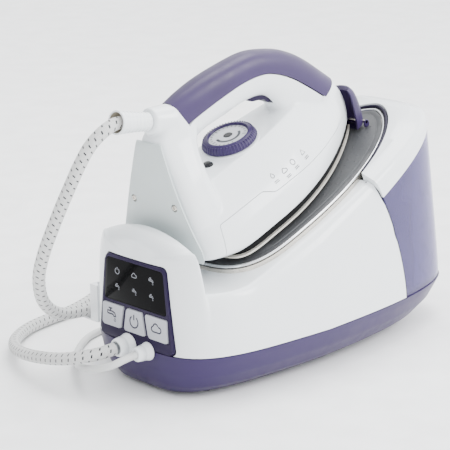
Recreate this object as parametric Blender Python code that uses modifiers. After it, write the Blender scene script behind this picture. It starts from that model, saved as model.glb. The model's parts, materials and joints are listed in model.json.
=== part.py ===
"""Steam generator iron: a base station with boiler, pump and slide-out tank, and the iron parked on its rest.

Frame: metres, +Z up, +X towards the tank, -X the control panel, origin under the middle of the base.
The iron is modelled flat in its own frame (sole at z = 0, nose towards +x) and parked by one pitched empty.
"""

import math

import bmesh
import bpy
from mathutils import Matrix, Vector

# ---------------------------------------------------------------- driving dimensions
GAP = 0.0003  # between pieces that touch
WALL = 0.0025  # moulded casing wall

BASE_FRONT = -0.196  # control panel end, at the widest level
BASE_REAR = 0.196  # tank end, at the widest level
BASE_HALF_WIDTH = 0.098
BASE_MIDDLE = -0.038  # X of the widest section
FRONT_POWER = 4.2  # squareness of the panel end
REAR_POWER = 3.1  # squareness of the tank end
FRONT_TAPER = 0.10  # share of the half width lost by the panel end
REAR_TAPER = 0.12
FOOT_HEIGHT = 0.003
FOOT_RADIUS = 0.009
SEAM_Z = 0.044  # joint between the tray and the casing
TRAY_RINGS = (  # height, inset at the panel end, at the tank end, at the sides
    (0.0, 0.012, 0.062, 0.032),
    (0.0015, 0.009, 0.051, 0.026),
    (0.009, 0.005, 0.033, 0.014),
    (0.022, 0.002, 0.014, 0.005),
    (0.034, 0.0005, 0.0045, 0.0012),
)

REST_PITCH = math.radians(22.0)
REST_X = -0.0933  # a point of the rest surface, under the iron's tail
REST_Z = 0.123
REST_MIDDLE = -0.050
REST_TAIL = -0.122
REST_NOSE = 0.133
REST_HALF_WIDTH = 0.072
MAT_THICKNESS = 0.0022
PLATE_THICKNESS = 0.004
PAD_HEIGHT = 0.0035

HUMP_TOP_Z = 0.155
HUMP_BACK_X = -0.1735
SADDLE_Z = 0.1018
SHOULDER_POWER = 2.5
BAY_EDGE_LOW = (0.086, SEAM_Z)  # X, Z of the casing's edge beside the tank
BAY_EDGE_HIGH = (0.046, 0.158)
BAY_CORNER_SLOPE = 0.52  # how fast the edge runs forward above that, towards the rest
BAY_WALL_X = 0.028
HUMP_ROUNDING = 0.010
HUMP_CORNER = 0.012
HUMP_CROWN = 0.014
SHOULDER_MARGIN = 0.004
SHOULDER_TAPER = 0.05

TANK_GAP = 0.0012
TANK_WALL = 0.0022
TANK_LEAN = 0.024  # how far the tank's end leans in, from the seam to the lid
LID_LOW = (0.050, 0.155)  # X, Z of the lid's lower edge
LID_SLOPE = 0.46
LID_FLOOR = 0.003
LID_TOP_Z = 0.2230
LID_MARGIN = 0.0072  # clearance round the rest
FILLER_RADIUS = 0.016

PANEL_TOP = (0.126, 0.0405)  # Z, half width
PANEL_BOTTOM = (0.0446, 0.0505)
PANEL_DEPTH = 0.006
DISPLAY_Z = (0.0825, 0.1210)
BUTTON_Z = (0.0560, 0.0780)
BUTTON_HALF_WIDTH = 0.0430
BUTTON_SPLITS = (0.0150, 0.0135)  # half width of the middle key at its foot and at its head
KEY_GAP = 0.0016
KEY_PROUD = 0.0016

LATCH_PIVOT = (0.2145, 0.0020)  # x, z in the iron's frame
LATCH_HALF_WIDTH = 0.0120

SOLE_NOSE = 0.2052
SOLE_TAIL = -0.004
SOLE_MIDDLE = 0.042
SOLE_HALF_WIDTH = 0.060
SOLE_THICKNESS = 0.0026
SHIELD_TOP = 0.0210
SKIRT_BOTTOM = 0.0085
SKIRT_TOP = 0.0310
DECK_Z = 0.0735
HEEL_FOOT_Z = 0.0204
HEEL_TOP_Z = 0.1330
HEEL_COVER = 0.003
LAMP_SEAT = (0.0110, -0.0040)
LAMP_RADIUS = 0.0044
DIAL_X = 0.0528
DIAL_RADIUS = 0.0268
DIAL_HEIGHT = 0.0090
DIAL_LIFT = 0.0015  # clearance under the dial
HOSE_RADIUS = 0.006
LEAD_RADIUS = 0.0035
SOCKET_Z = 0.0425
SLEEVE_START = (-0.0300, 0.1477)  # x, z in the iron's frame
SLEEVE_END = (-0.0624, 0.1662)
SLEEVE_RADII = (0.0088, 0.0110)
BOSS_START = (-0.0064, 0.1355)
BOSS_RADII = (0.0155, 0.0118)
HOSE_SOCKET_Y = 0.0100
LEAD_SOCKET_Y = -0.0170

BOILER_RADIUS = 0.036
BOILER_LENGTH = 0.094
BOILER_CENTRE = (-0.034, 0.022, 0.066)

HOOK_TOP_Z = 0.0820
HOOK_FRONT_X = -0.1810
HOOK_REAR_X = -0.1630
HOOK_HOSE = (0.0892, 0.0530)  # Y, Z of the hose in the hook

HOSE_COIL = (0.154, 0.195, 0.060)  # X, Y, mean radius: one column of turns, two layers
LEAD_COIL = (-0.010, 0.176, 0.042)  # X, Y, mean radius: four columns, two layers
LEAD_COLUMNS = 4
HOSE_UPPER = (  # from the iron's sleeve, down to the hook and along the floor to the coil
    (-0.2176, 0.0000, 0.2560), (-0.2285, 0.0010, 0.2510), (-0.2385, 0.0060, 0.2400), (-0.2455, 0.0120, 0.2245),
    (-0.2505, 0.0200, 0.2050), (-0.2545, 0.0300, 0.1830), (-0.2580, 0.0400, 0.1600), (-0.2595, 0.0520, 0.1350),
    (-0.2560, 0.0650, 0.1080), (-0.2420, 0.0770, 0.0790), (-0.2170, 0.0858, 0.0600), (-0.1890, 0.0896, 0.0543),
    (-0.1630, 0.0891, 0.0536), (-0.1400, 0.0950, 0.0490), (-0.1150, 0.1015, 0.0390), (-0.0850, 0.1065, 0.0260),
    (-0.0500, 0.1095, 0.0145), (-0.0100, 0.1105, 0.0075), (0.0300, 0.1150, 0.0062), (0.0700, 0.1270, 0.0062),
    (0.1000, 0.1345, 0.0062), (0.1156, 0.1350, 0.0062),
)
HOSE_LOWER = (  # from the coil, round behind the lead, to the socket in the panel
    (0.1156, 0.2550, 0.0180), (0.0950, 0.2548, 0.0130), (0.0650, 0.2535, 0.0066), (0.0300, 0.2505, 0.0062),
    (-0.0100, 0.2440, 0.0062), (-0.0450, 0.2330, 0.0062), (-0.0750, 0.2190, 0.0062), (-0.1050, 0.2090, 0.0062),
    (-0.1350, 0.2050, 0.0062), (-0.1630, 0.1990, 0.0064), (-0.1920, 0.1830, 0.0080), (-0.2180, 0.1570, 0.0115),
    (-0.2360, 0.1240, 0.0165), (-0.2450, 0.0850, 0.0235), (-0.2455, 0.0480, 0.0310), (-0.2380, 0.0225, 0.0380),
    (-0.2280, 0.0120, 0.0413), (-0.2205, 0.0102, 0.0423), (-0.2152, 0.0100, 0.0425),
)
LEAD_OUT = (  # from the socket, under the hose, along the floor to its coil
    (-0.2132, -0.0170, 0.0425), (-0.2185, -0.0169, 0.0422), (-0.2260, -0.0155, 0.0407), (-0.2340, -0.0100, 0.0365),
    (-0.2385, 0.0030, 0.0315), (-0.2370, 0.0200, 0.0262), (-0.2300, 0.0380, 0.0212), (-0.2200, 0.0560, 0.0160), (-0.2075, 0.0750, 0.0105),
    (-0.1925, 0.0940, 0.0062), (-0.1760, 0.1110, 0.0042), (-0.1570, 0.1270, 0.0037), (-0.1370, 0.1390, 0.0037),
    (-0.1170, 0.1440, 0.0037), (-0.0930, 0.1410, 0.0037), (-0.0700, 0.1330, 0.0037), (-0.0500, 0.1260, 0.0037),
    (-0.0374, 0.1235, 0.0037),
)
LEAD_END = (  # from the coil to the plug beside it
    (0.0336, 0.1362, 0.0107), (0.0430, 0.1385, 0.0113), (0.0530, 0.1440, 0.0130), (0.0610, 0.1540, 0.0160),
    (0.0645, 0.1640, 0.0184), (0.0648, 0.1694, 0.0188),
)
PLUG_FOOT = (0.0648, 0.1703, 0.0188)
PLUG_RADIUS = 0.0186
PIN_RADIUS = 0.0024
PIN_LENGTH = 0.019
PIN_SPREAD = 0.0095

STEPS = 40  # points round a large outline


# ---------------------------------------------------------------- tools
def clear_scene():
    for obj in list(bpy.data.objects):
        bpy.data.objects.remove(obj, do_unlink=True)


def collection(name, helper=False):
    made = bpy.data.collections.new(name)
    bpy.context.scene.collection.children.link(made)
    made.hide_render = helper
    return made


clear_scene()
PARTS = collection("steam_generator_iron")
CUTTERS = collection("cutters", helper=True)


def material(name, colour, roughness=0.45, metallic=0.0):
    found = bpy.data.materials.get(name)
    if found:
        return found
    made = bpy.data.materials.new(name)
    made.use_nodes = True
    shader = made.node_tree.nodes["Principled BSDF"]
    shader.inputs["Base Color"].default_value = (*colour, 1.0)
    shader.inputs["Roughness"].default_value = roughness
    shader.inputs["Metallic"].default_value = metallic
    return made


WHITE = material("white_gloss", (0.86, 0.88, 0.90), 0.22)
HEEL_GREY = material("pale_grey_matt", (0.72, 0.77, 0.76), 0.5)
PURPLE = material("deep_purple", (0.075, 0.040, 0.145), 0.35)
GRIP_PURPLE = material("grip_purple", (0.17, 0.105, 0.27), 0.4)
LAVENDER = material("tank_lavender", (0.36, 0.32, 0.55), 0.15)
BLACK = material("black_plastic", (0.02, 0.02, 0.025), 0.3)
MAT_GREY = material("mat_grey", (0.33, 0.34, 0.35), 0.7)
STEEL = material("stainless_steel", (0.70, 0.68, 0.64), 0.25, 1.0)
CAST = material("cast_aluminium", (0.55, 0.55, 0.56), 0.5, 1.0)
BRASS = material("brass", (0.72, 0.53, 0.25), 0.35, 1.0)
KEY_GREY = material("key_grey", (0.75, 0.76, 0.78), 0.4)
SILVER = material("silver_plastic", (0.55, 0.56, 0.58), 0.35, 0.6)
BOARD = material("circuit_board", (0.03, 0.16, 0.07), 0.5)
RUBBER = material("rubber", (0.05, 0.05, 0.055), 0.8)
BRAID = material("hose_braid", (0.82, 0.82, 0.80), 0.8)
LEAD_WHITE = material("lead_white", (0.80, 0.80, 0.78), 0.5)


def add(name, mesh, mat, parent=None, group=None):
    """A new object from a mesh, with its material, in the parts' collection."""
    obj = bpy.data.objects.new(name, mesh)
    (group or PARTS).objects.link(obj)
    if mat:
        mesh.materials.append(mat)
    obj.parent = parent
    if group is CUTTERS:
        obj.hide_render = True
        obj.display_type = "WIRE"
    return obj


def empty(name, location, rotation=(0, 0, 0), parent=None):
    obj = bpy.data.objects.new(name, None)
    PARTS.objects.link(obj)
    obj.parent = parent
    obj.location = location
    obj.rotation_euler = rotation
    return obj


def mesh_from(bm, name, smooth=True):
    bmesh.ops.recalc_face_normals(bm, faces=bm.faces)
    mesh = bpy.data.meshes.new(name)
    bm.to_mesh(mesh)
    bm.free()
    if smooth:
        mesh.shade_smooth()
        mesh.set_sharp_from_angle(angle=math.radians(35))
    return mesh


def cap_across(bm, ring):
    """Closes a ring that is its own mirror image with strips from side to side."""
    count = len(ring)
    for i in range((count - 1) // 2):
        j = count - 1 - i
        corners = [ring[i], ring[i + 1], ring[j - 1], ring[j]]
        bm.faces.new(list(dict.fromkeys(corners)))


def loft(name, rings, mat, parent=None, group=None, endless=False):
    """A closed body through rings of equal length: its ends capped across, or the last joined to the first."""
    bm = bmesh.new()
    loops = [[bm.verts.new(point) for point in ring] for ring in rings]
    count = len(loops[0])
    pairs = list(zip(loops, loops[1:])) + ([(loops[-1], loops[0])] if endless else [])
    for low, high in pairs:
        for i in range(count):
            j = (i + 1) % count
            bm.faces.new((low[i], low[j], high[j], high[i]))
    if not endless:
        for ring in (loops[0], loops[-1]):
            cap_across(bm, ring)
    return add(name, mesh_from(bm, name), mat, parent, group)


def slab(name, outline, low, high, mat, parent=None, group=None):
    """A plate from a mirrored plan outline of (x, y), between two heights given as functions of x."""
    rings = [[(x, y, level(x)) for x, y in outline] for level in (low, high)]
    return loft(name, rings, mat, parent, group)


def bar(name, profile, half_width, mat, parent=None, group=None, middle=0.0):
    """A solid from an (x, z) profile, extruded along Y about a middle."""
    bm = bmesh.new()
    sides = [[bm.verts.new((x, middle + y, z)) for x, z in profile] for y in (-half_width, half_width)]
    for i in range(len(profile)):
        j = (i + 1) % len(profile)
        bm.faces.new((sides[0][i], sides[0][j], sides[1][j], sides[1][i]))
    for side in sides:
        bm.faces.new(side)
    return add(name, mesh_from(bm, name), mat, parent, group)


def box(name, low, high, mat, parent=None, bevel=0.0, group=None):
    bm = bmesh.new()
    size = [h - l for l, h in zip(low, high)]
    middle = [(h + l) / 2 for l, h in zip(low, high)]
    bmesh.ops.create_cube(bm, size=1.0, matrix=Matrix.LocRotScale(Vector(middle), None, Vector(size)))
    if bevel:
        bmesh.ops.bevel(bm, geom=bm.edges[:], offset=bevel, segments=2, profile=0.5, affect="EDGES")
    return add(name, mesh_from(bm, name), mat, parent, group)


def cylinder(name, start, end, radius, mat, parent=None, sides=24, group=None, radius_end=None):
    start, end = Vector(start), Vector(end)
    axis = end - start
    turn = Vector((0, 0, 1)).rotation_difference(axis)
    place = Matrix.LocRotScale((start + end) / 2, turn, None)
    bm = bmesh.new()
    bmesh.ops.create_cone(
        bm, cap_ends=True, segments=sides, radius1=radius,
        radius2=radius if radius_end is None else radius_end, depth=axis.length, matrix=place,
    )
    return add(name, mesh_from(bm, name), mat, parent, group)


def turned(name, profile, mat, place=None, parent=None, sides=28, group=None):
    """A solid of revolution about its own Z from (radius, height) points, outer side first, top to bottom."""
    bm = bmesh.new()
    verts = [bm.verts.new((radius, 0.0, height)) for radius, height in profile]
    closed = profile[0][0] > 0 and profile[-1][0] > 0
    pairs = list(zip(verts, verts[1:])) + ([(verts[-1], verts[0])] if closed else [])
    for a, b in pairs:
        bm.edges.new((a, b))
    mesh = bpy.data.meshes.new(name)
    bm.to_mesh(mesh)
    bm.free()
    obj = add(name, mesh, mat, parent, group)
    screw = obj.modifiers.new("turn", "SCREW")
    screw.steps = screw.render_steps = sides
    screw.use_merge_vertices = True
    screw.merge_threshold = 0.00001
    screw.use_normal_flip = False
    if place:
        obj.matrix_local = place
    return obj


def tube(name, points, radius, mat, parent=None, resolution=2):
    """A round tube along a poly line, with filled ends."""
    curve = bpy.data.curves.new(name, "CURVE")
    curve.dimensions = "3D"
    curve.bevel_depth = radius
    curve.bevel_resolution = resolution
    curve.use_fill_caps = True
    spline = curve.splines.new("POLY")
    spline.points.add(len(points) - 1)
    for point, place in zip(spline.points, points):
        point.co = (*place, 1.0)
    obj = bpy.data.objects.new(name, curve)
    PARTS.objects.link(obj)
    curve.materials.append(mat)
    obj.parent = parent
    return obj


def smooth_route(points, spacing):
    """Evenly spaced points on a centripetal Catmull-Rom curve through the given points."""
    pts = [Vector(p) for p in points]
    pts = [2 * pts[0] - pts[1]] + pts + [2 * pts[-1] - pts[-2]]
    dense = []
    for a, b, c, d in zip(pts, pts[1:], pts[2:], pts[3:]):
        knots = [0.0]
        for p, q in ((a, b), (b, c), (c, d)):
            knots.append(knots[-1] + math.sqrt(max((q - p).length, 1e-6)))
        t0, t1, t2, t3 = knots
        for k in range(16):
            t = t1 + (t2 - t1) * k / 16
            ab = a * ((t1 - t) / (t1 - t0)) + b * ((t - t0) / (t1 - t0))
            bc = b * ((t2 - t) / (t2 - t1)) + c * ((t - t1) / (t2 - t1))
            cd = c * ((t3 - t) / (t3 - t2)) + d * ((t - t2) / (t3 - t2))
            abc = ab * ((t2 - t) / (t2 - t0)) + bc * ((t - t0) / (t2 - t0))
            bcd = bc * ((t3 - t) / (t3 - t1)) + cd * ((t - t1) / (t3 - t1))
            dense.append(abc * ((t2 - t) / (t2 - t1)) + bcd * ((t - t1) / (t2 - t1)))
    dense.append(pts[-2])
    total = sum((q - p).length for p, q in zip(dense, dense[1:]))
    wanted = max(2, round(total / spacing))
    out, walked, target = [dense[0]], 0.0, total / wanted
    for p, q in zip(dense, dense[1:]):
        step = (q - p).length
        while walked + step >= target and len(out) < wanted:
            out.append(p.lerp(q, (target - walked) / step))
            target += total / wanted
        walked += step
    return out + [dense[-1]]


def combine(obj, other, operation):
    """A Boolean of two objects, the second kept as a hidden helper."""
    mod = obj.modifiers.new(operation.lower() + "_" + other.name, "BOOLEAN")
    mod.operation = operation
    mod.object = other
    mod.solver = "EXACT"
    return obj


def cut(obj, *cutters):
    for cutter in cutters:
        combine(obj, cutter, "DIFFERENCE")
    return obj


def join(obj, *others):
    for other in others:
        combine(obj, other, "UNION")
    return obj


def mix(a, b, t):
    return a + (b - a) * t


def power(value, exponent):
    return math.copysign(abs(value) ** exponent, value)


# ---------------------------------------------------------------- the base's outlines
def base_outline(inset_front=0.0, inset_rear=0.0, inset_side=0.0, steps=STEPS):
    """The base's plan as (x, y) points: square at the panel end, round at the tank end."""
    points = []
    for i in range(steps):
        angle = 2 * math.pi * (i + 0.5) / steps
        c, s = math.cos(angle), math.sin(angle)
        exponent = 2 / (REAR_POWER if c > 0 else FRONT_POWER)
        reach = (BASE_REAR - inset_rear - BASE_MIDDLE) if c > 0 else (BASE_MIDDLE - BASE_FRONT - inset_front)
        x = BASE_MIDDLE + reach * power(c, exponent)
        taper = 1 - (REAR_TAPER if c > 0 else FRONT_TAPER) * abs(power(c, exponent))
        points.append((x, (BASE_HALF_WIDTH - inset_side) * taper * power(s, exponent)))
    return points


def seam_half_width(x):
    """Half width of the base at its widest level, at a given X."""
    rear = x > BASE_MIDDLE
    reach = (BASE_REAR - BASE_MIDDLE) if rear else (BASE_MIDDLE - BASE_FRONT)
    share = min(abs(x - BASE_MIDDLE) / reach, 1.0)
    n = REAR_POWER if rear else FRONT_POWER
    taper = 1 - (REAR_TAPER if rear else FRONT_TAPER) * share
    return BASE_HALF_WIDTH * taper * (1 - share**n) ** (1 / n)


def rest_height(x):
    """Height of the rest surface at a given X."""
    return REST_Z + (x - REST_X) * math.tan(REST_PITCH)


def rest_outline(offset=0.0, steps=STEPS):
    """The rest's plan as (x, y) points: a rounded tail and a pointed nose."""
    points = []
    for i in range(steps):
        angle = 2 * math.pi * (i + 0.5) / steps
        c, s = math.cos(angle), math.sin(angle)
        if c < 0:
            x = REST_MIDDLE + (REST_MIDDLE - REST_TAIL + offset) * power(c, 0.62)
            y = (REST_HALF_WIDTH + offset) * power(s, 0.62)
        else:
            share = c ** 0.8
            x = REST_MIDDLE + (REST_NOSE - REST_MIDDLE + offset) * share
            y = math.copysign((REST_HALF_WIDTH + offset) * (1 - share**2.2) ** 0.62, s)
        points.append((x, y))
    return points


def on_rest(points, lift):
    """Plan points carried up to the rest surface, plus a lift along Z."""
    return [(x, y, rest_height(x) + lift) for x, y in points]


# ---------------------------------------------------------------- base: tray and feet
def build_tray():
    outer = [[(x, y, FOOT_HEIGHT + GAP + z) for x, y in base_outline(f, r, s)] for z, f, r, s in TRAY_RINGS]
    outer.append([(x, y, SEAM_Z - GAP) for x, y in base_outline()])
    inner = [
        [(x, y, max(FOOT_HEIGHT + GAP + z, 0.006)) for x, y in base_outline(f + WALL, r + WALL, s + WALL)]
        for z, f, r, s in reversed(TRAY_RINGS[1:])
    ]
    rim = [[(x, y, SEAM_Z - GAP) for x, y in base_outline(WALL, WALL, WALL)]]
    return loft("base_tray", outer + rim + inner, PURPLE)


def build_feet():
    feet = {}
    for end, x in (("front", -0.150), ("rear", 0.105)):
        for side, y in (("left", 0.042), ("right", -0.042)):
            name = f"foot_{end}_{side}"
            profile = [(0.0, FOOT_HEIGHT), (FOOT_RADIUS, FOOT_HEIGHT), (FOOT_RADIUS * 0.85, 0.0), (0.0, 0.0)]
            feet[name] = turned(name, profile, RUBBER, Matrix.Translation((x, y, 0)), sides=20)
    return feet


# ---------------------------------------------------------------- base: casing
def bay_edge(z):
    """X of the casing's edge beside the tank, at a given height."""
    (low_x, low_z), (high_x, high_z) = BAY_EDGE_LOW, BAY_EDGE_HIGH
    if z > high_z:
        return high_x - BAY_CORNER_SLOPE * (z - high_z)
    return low_x + (high_x - low_x) * max(0.0, (z - low_z) / (high_z - low_z)) ** 1.35


def casing_top(x):
    """Half width and height of the shoulder, and height on the centre line, of the casing at X."""
    width = seam_half_width(x)
    if x <= HUMP_BACK_X:
        fall = ((x - HUMP_BACK_X) / (BASE_FRONT - HUMP_BACK_X)) ** 4
        top = HUMP_TOP_Z - HUMP_ROUNDING * fall
        return width - HUMP_CORNER, top - HUMP_CROWN, top
    level = max(rest_height(x) - MAT_THICKNESS - PLATE_THICKNESS - 3 * GAP, SADDLE_Z)
    along = min(1.0, (x - HUMP_BACK_X) / 0.05)
    shoulder = REST_HALF_WIDTH + SHOULDER_MARGIN - SHOULDER_TAPER * max(0.0, x)
    return mix(width - HUMP_CORNER, shoulder, along), level, level


def casing_ring(x, inset=0.0, count=9):
    """One open section of the casing, from seam to seam over the top."""
    width = seam_half_width(x) - inset
    shoulder, shoulder_z, centre_z = (value - inset for value in casing_top(x))
    half = []
    for i in range(count):
        angle = math.pi / 2 * i / (count - 1)
        y = mix(shoulder, width, math.cos(angle) ** (2 / SHOULDER_POWER))
        z = mix(SEAM_Z, shoulder_z, math.sin(angle) ** (2 / SHOULDER_POWER))
        half.append((x, y, z))
    for share in (0.7, 0.35):
        half.append((x, shoulder * share, mix(centre_z, shoulder_z, share**2)))
    return half + [(x, 0.0, centre_z)] + [(x, -y, z) for x, y, z in reversed(half)]


def bay_cutter():
    """Everything on the tank's side of the casing's edge."""
    heights = [SEAM_Z - 0.01, SEAM_Z, 0.066, 0.091, 0.114, 0.136, BAY_EDGE_HIGH[1], 0.200]
    profile = [(bay_edge(z), z) for z in heights] + [(0.30, 0.200), (0.30, SEAM_Z - 0.01)]
    return bar("bay_cutter", profile, 0.2, None, group=CUTTERS)


def panel_outline(margin=0.0):
    """The control panel's trapezoid as (y, z) points, counter-clockwise from its lower left."""
    (top, top_half), (bottom, bottom_half) = PANEL_TOP, PANEL_BOTTOM
    corner = 0.006
    right = [(bottom_half, bottom), (mix(bottom_half, top_half, 0.93), top - corner), (top_half - corner, top)]
    right = [(y + margin, z + (margin if z > bottom else -margin)) for y, z in right]
    return right + [(-y, z) for y, z in reversed(right)]


def plate_yz(name, outline, x_low, x_high, mat, parent=None, group=None):
    """A plate from a (y, z) outline between two values of X."""
    bm = bmesh.new()
    sides = [[bm.verts.new((x, y, z)) for y, z in outline] for x in (x_low, x_high)]
    for i in range(len(outline)):
        j = (i + 1) % len(outline)
        bm.faces.new((sides[0][i], sides[0][j], sides[1][j], sides[1][i]))
    for side in sides:
        bm.faces.new(side)
    return add(name, mesh_from(bm, name), mat, parent, group)


def build_casing():
    """The white casing: sections lofted along X, given a wall, cut for the panel and for the tank bay."""
    stations = [-0.1955, -0.1935, -0.190, -0.185, -0.179, HUMP_BACK_X - 0.0005, HUMP_BACK_X + 0.003]
    stations += [-0.158, -0.140, -0.128, -0.118, -0.090, -0.060, -0.030, 0.0, 0.030, 0.060, 0.092]
    bm = bmesh.new()
    rows = [[bm.verts.new(point) for point in casing_ring(x)] for x in stations]
    for low, high in zip(rows, rows[1:]):
        for i in range(len(low) - 1):
            bm.faces.new((low[i], low[i + 1], high[i + 1], high[i]))
    cap_across(bm, rows[0])
    bmesh.ops.remove_doubles(bm, verts=bm.verts, dist=1e-6)
    casing = add("upper_casing", mesh_from(bm, "upper_casing"), WHITE)
    wall = casing.modifiers.new("wall", "SOLIDIFY")
    wall.thickness = WALL
    wall.offset = -1
    panel = plate_yz("panel_cutter", panel_outline(GAP * 2), -0.25, -0.180, None, group=CUTTERS)
    return cut(casing, bay_cutter(), panel)


def build_base_inside():
    """What the tray carries: the bay's wall and shelf, boiler, pump, valve, boards and pipes."""
    ring = casing_ring(BAY_WALL_X, WALL + 0.0012)
    ring = [(x, y, max(z, SEAM_Z + 0.001)) for x, y, z in ring]
    loft("bay_wall", [ring, [(x + 0.002, y, z) for x, y, z in ring]], PURPLE)
    shelf = [(x, y) for x, y in rear_outline(BAY_WALL_X + 0.001, 0.012, 0.012, 10)]
    slab("tank_shelf", shelf, lambda x: SEAM_Z - 0.0045, lambda x: SEAM_Z - 0.002, PURPLE)

    x, y, z = BOILER_CENTRE
    half, r = BOILER_LENGTH / 2, BOILER_RADIUS
    dome = [(r * math.sin(a), half - 0.014 + 0.014 * math.cos(a)) for a in (0.0, 0.55, 1.1, math.pi / 2)]
    shell = dome + [(radius, -height) for radius, height in reversed(dome)]
    turned("boiler", shell, STEEL, Matrix.Translation((x, y, z)) @ Matrix.Rotation(math.pi / 2, 4, "Y"), sides=24)
    valve_y = y + r + 0.003
    box("solenoid_valve", (x - 0.010, valve_y, 0.060), (x + 0.014, valve_y + 0.016, 0.088), BRASS, bevel=0.0015)
    box("pump", (-0.060, -0.076, 0.024), (-0.004, -0.044, 0.054), BLACK, bevel=0.003)
    box("power_board", (-0.150, -0.058, 0.018), (-0.095, 0.000, 0.0205), BOARD)
    box("display_board", (-0.1775, -0.038, 0.056), (-0.1755, 0.038, 0.118), BOARD)
    inlet = [(0.024, 0.000, 0.030), (0.018, -0.026, 0.028), (0.010, -0.050, 0.030), (0.0005, -0.060, 0.032)]
    tube("inlet_pipe", smooth_route(inlet, 0.008), 0.003, RUBBER)
    feed = [(-0.0605, -0.060, 0.036), (-0.078, -0.058, 0.040), (-0.088, -0.040, 0.052), (-0.083, -0.018, 0.066)]
    tube("feed_pipe", smooth_route(feed, 0.008), 0.0025, RUBBER)
    steam = [(x - 0.0112, valve_y + 0.008, 0.070), (x - 0.022, valve_y + 0.008, 0.069), (-0.080, 0.068, 0.062),
             (-0.115, 0.062, 0.050), (-0.150, 0.040, 0.042), (-0.178, 0.014, 0.036)]
    tube("steam_pipe", smooth_route(steam, 0.010), 0.0035, RUBBER)


def build_panel():
    """The purple frame in the casing's end, its display window, three sprung keys and the two sockets."""
    back, front = -0.1810, BASE_FRONT - 0.0006
    frame = plate_yz("panel_frame", panel_outline(), front, back, PURPLE)
    low, high = DISPLAY_Z
    sill = 0.0022
    window = [(0.0395, low), (0.0372, high - 0.003), (0.0345, high)]
    window = window + [(-y, z) for y, z in reversed(window)]
    recess = [(y + math.copysign(GAP, y), z + (GAP if z > low else -GAP)) for y, z in window]
    cut(frame, plate_yz("window_cutter", recess, front - 0.01, front + sill, None, group=CUTTERS))
    plate_yz("display_window", window, front - GAP, front + sill - GAP, BLACK)
    (low, high), (foot, head) = BUTTON_Z, BUTTON_SPLITS
    edge = BUTTON_HALF_WIDTH
    keys = {
        "key_tap": [(foot + KEY_GAP, low), (edge - 0.002, low), (edge - 0.003, high), (head + KEY_GAP, high)],
        "key_power": [(-foot, low), (foot, low), (head, high), (-head, high)],
        "key_steam_level": [(-edge + 0.002, low), (-foot - KEY_GAP, low), (-head - KEY_GAP, high),
                            (-edge + 0.003, high)],
    }
    stem_back = front + 0.0105
    for name, outline in keys.items():
        middle_y = sum(y for y, z in outline) / 4
        middle_z = (low + high) / 2
        well = [(middle_y + (y - middle_y) * 1.05, middle_z + (z - middle_z) * 1.04) for y, z in outline]
        cut(frame, plate_yz(name + "_well", well, front - 0.01, front + 0.006, None, group=CUTTERS))
        hole = cylinder(name + "_hole", (front, middle_y, middle_z), (back + 0.01, middle_y, middle_z), 0.0042,
                        None, sides=16, group=CUTTERS)
        cut(frame, hole)
        key = plate_yz(name, outline, front - KEY_PROUD, front + 0.0030, KEY_GREY)
        stem = cylinder(name + "_stem", (front + 0.002, middle_y, middle_z), (stem_back, middle_y, middle_z),
                        0.0035, None, sides=12, group=CUTTERS)
        join(key, stem)
    for name, y, radius in (("hose_socket", HOSE_SOCKET_Y, 0.0112), ("lead_socket", LEAD_SOCKET_Y, 0.0090)):
        start = BASE_FRONT - 0.0006 - GAP
        place = Matrix.Translation((start, y, SOCKET_Z)) @ Matrix.Rotation(-math.pi / 2, 4, "Y")
        profile = [(0.0, 0.015), (radius * 0.82, 0.015), (radius * 0.92, 0.012), (radius, 0.002), (radius, 0.0),
                   (0.0, 0.0)]
        turned(name, profile, WHITE, place, sides=20)


def build_rest():
    """What the iron parks on: a steel plate, a heat mat with ribs, a bright rim and the bay's gasket."""
    under = MAT_THICKNESS + PLATE_THICKNESS + 2 * GAP
    plate_top = MAT_THICKNESS + GAP
    slab("rest_plate", rest_outline(0.0028), lambda x: rest_height(x) - under,
         lambda x: rest_height(x) - plate_top, STEEL)
    slab("rest_mat", rest_outline(-GAP), lambda x: rest_height(x) - MAT_THICKNESS, rest_height, MAT_GREY)
    rim_rings = []
    for offset, lift in ((0.0025, -MAT_THICKNESS), (0.0025, 0.0008), (0.0003, 0.0008), (0.0003, -MAT_THICKNESS)):
        rim_rings.append(on_rest(rest_outline(offset), lift))
    loft("rest_rim", rim_rings, SILVER, endless=True)
    for name, y in (("rest_pad_left", 0.038), ("rest_pad_right", -0.038)):
        length, thickness = 0.070, 0.005
        rings = []
        for x in (-0.060, -0.060 + length):
            z = rest_height(x)
            corners = ((-1, GAP), (1, GAP), (0.7, PAD_HEIGHT), (-0.7, PAD_HEIGHT))
            rings.append([(x, y + side * thickness / 2, z + lift) for side, lift in corners])
        bm = bmesh.new()
        ends = [[bm.verts.new(p) for p in ring] for ring in rings]
        for i in range(4):
            bm.faces.new((ends[0][i], ends[0][(i + 1) % 4], ends[1][(i + 1) % 4], ends[1][i]))
        for end in ends:
            bm.faces.new(end)
        add(name, mesh_from(bm, name), PURPLE)
    nose = [(x, y) for x, y in rest_outline(0.0050, 56) if x > 0.040]
    nose.sort(key=lambda p: math.atan2(p[1], p[0] - 0.02))
    route = on_rest(nose, 0.0006)
    tube("bay_gasket", route, 0.0012, PURPLE)


# ---------------------------------------------------------------- tank
def rear_half_width(x, inset_rear, inset_side):
    reach = BASE_REAR - inset_rear - BASE_MIDDLE
    share = min(1.0, (x - BASE_MIDDLE) / reach)
    return (BASE_HALF_WIDTH - inset_side) * (1 - REAR_TAPER * share) * (1 - share**REAR_POWER) ** (1 / REAR_POWER)


def rear_outline(x_front, inset_rear=0.0, inset_side=0.0, count=15):
    """The tank end's plan from x_front to the end, as mirrored (x, y) points."""
    x_end = BASE_REAR - inset_rear
    right = []
    for k in range(count):
        x = x_front + (x_end - x_front) * math.sin(math.pi / 2 * k / (count - 1))
        right.append((x, -rear_half_width(x, inset_rear, inset_side) if k < count - 1 else 0.0))
    return right + [(x, -y) for x, y in reversed(right[:-1])]


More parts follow.
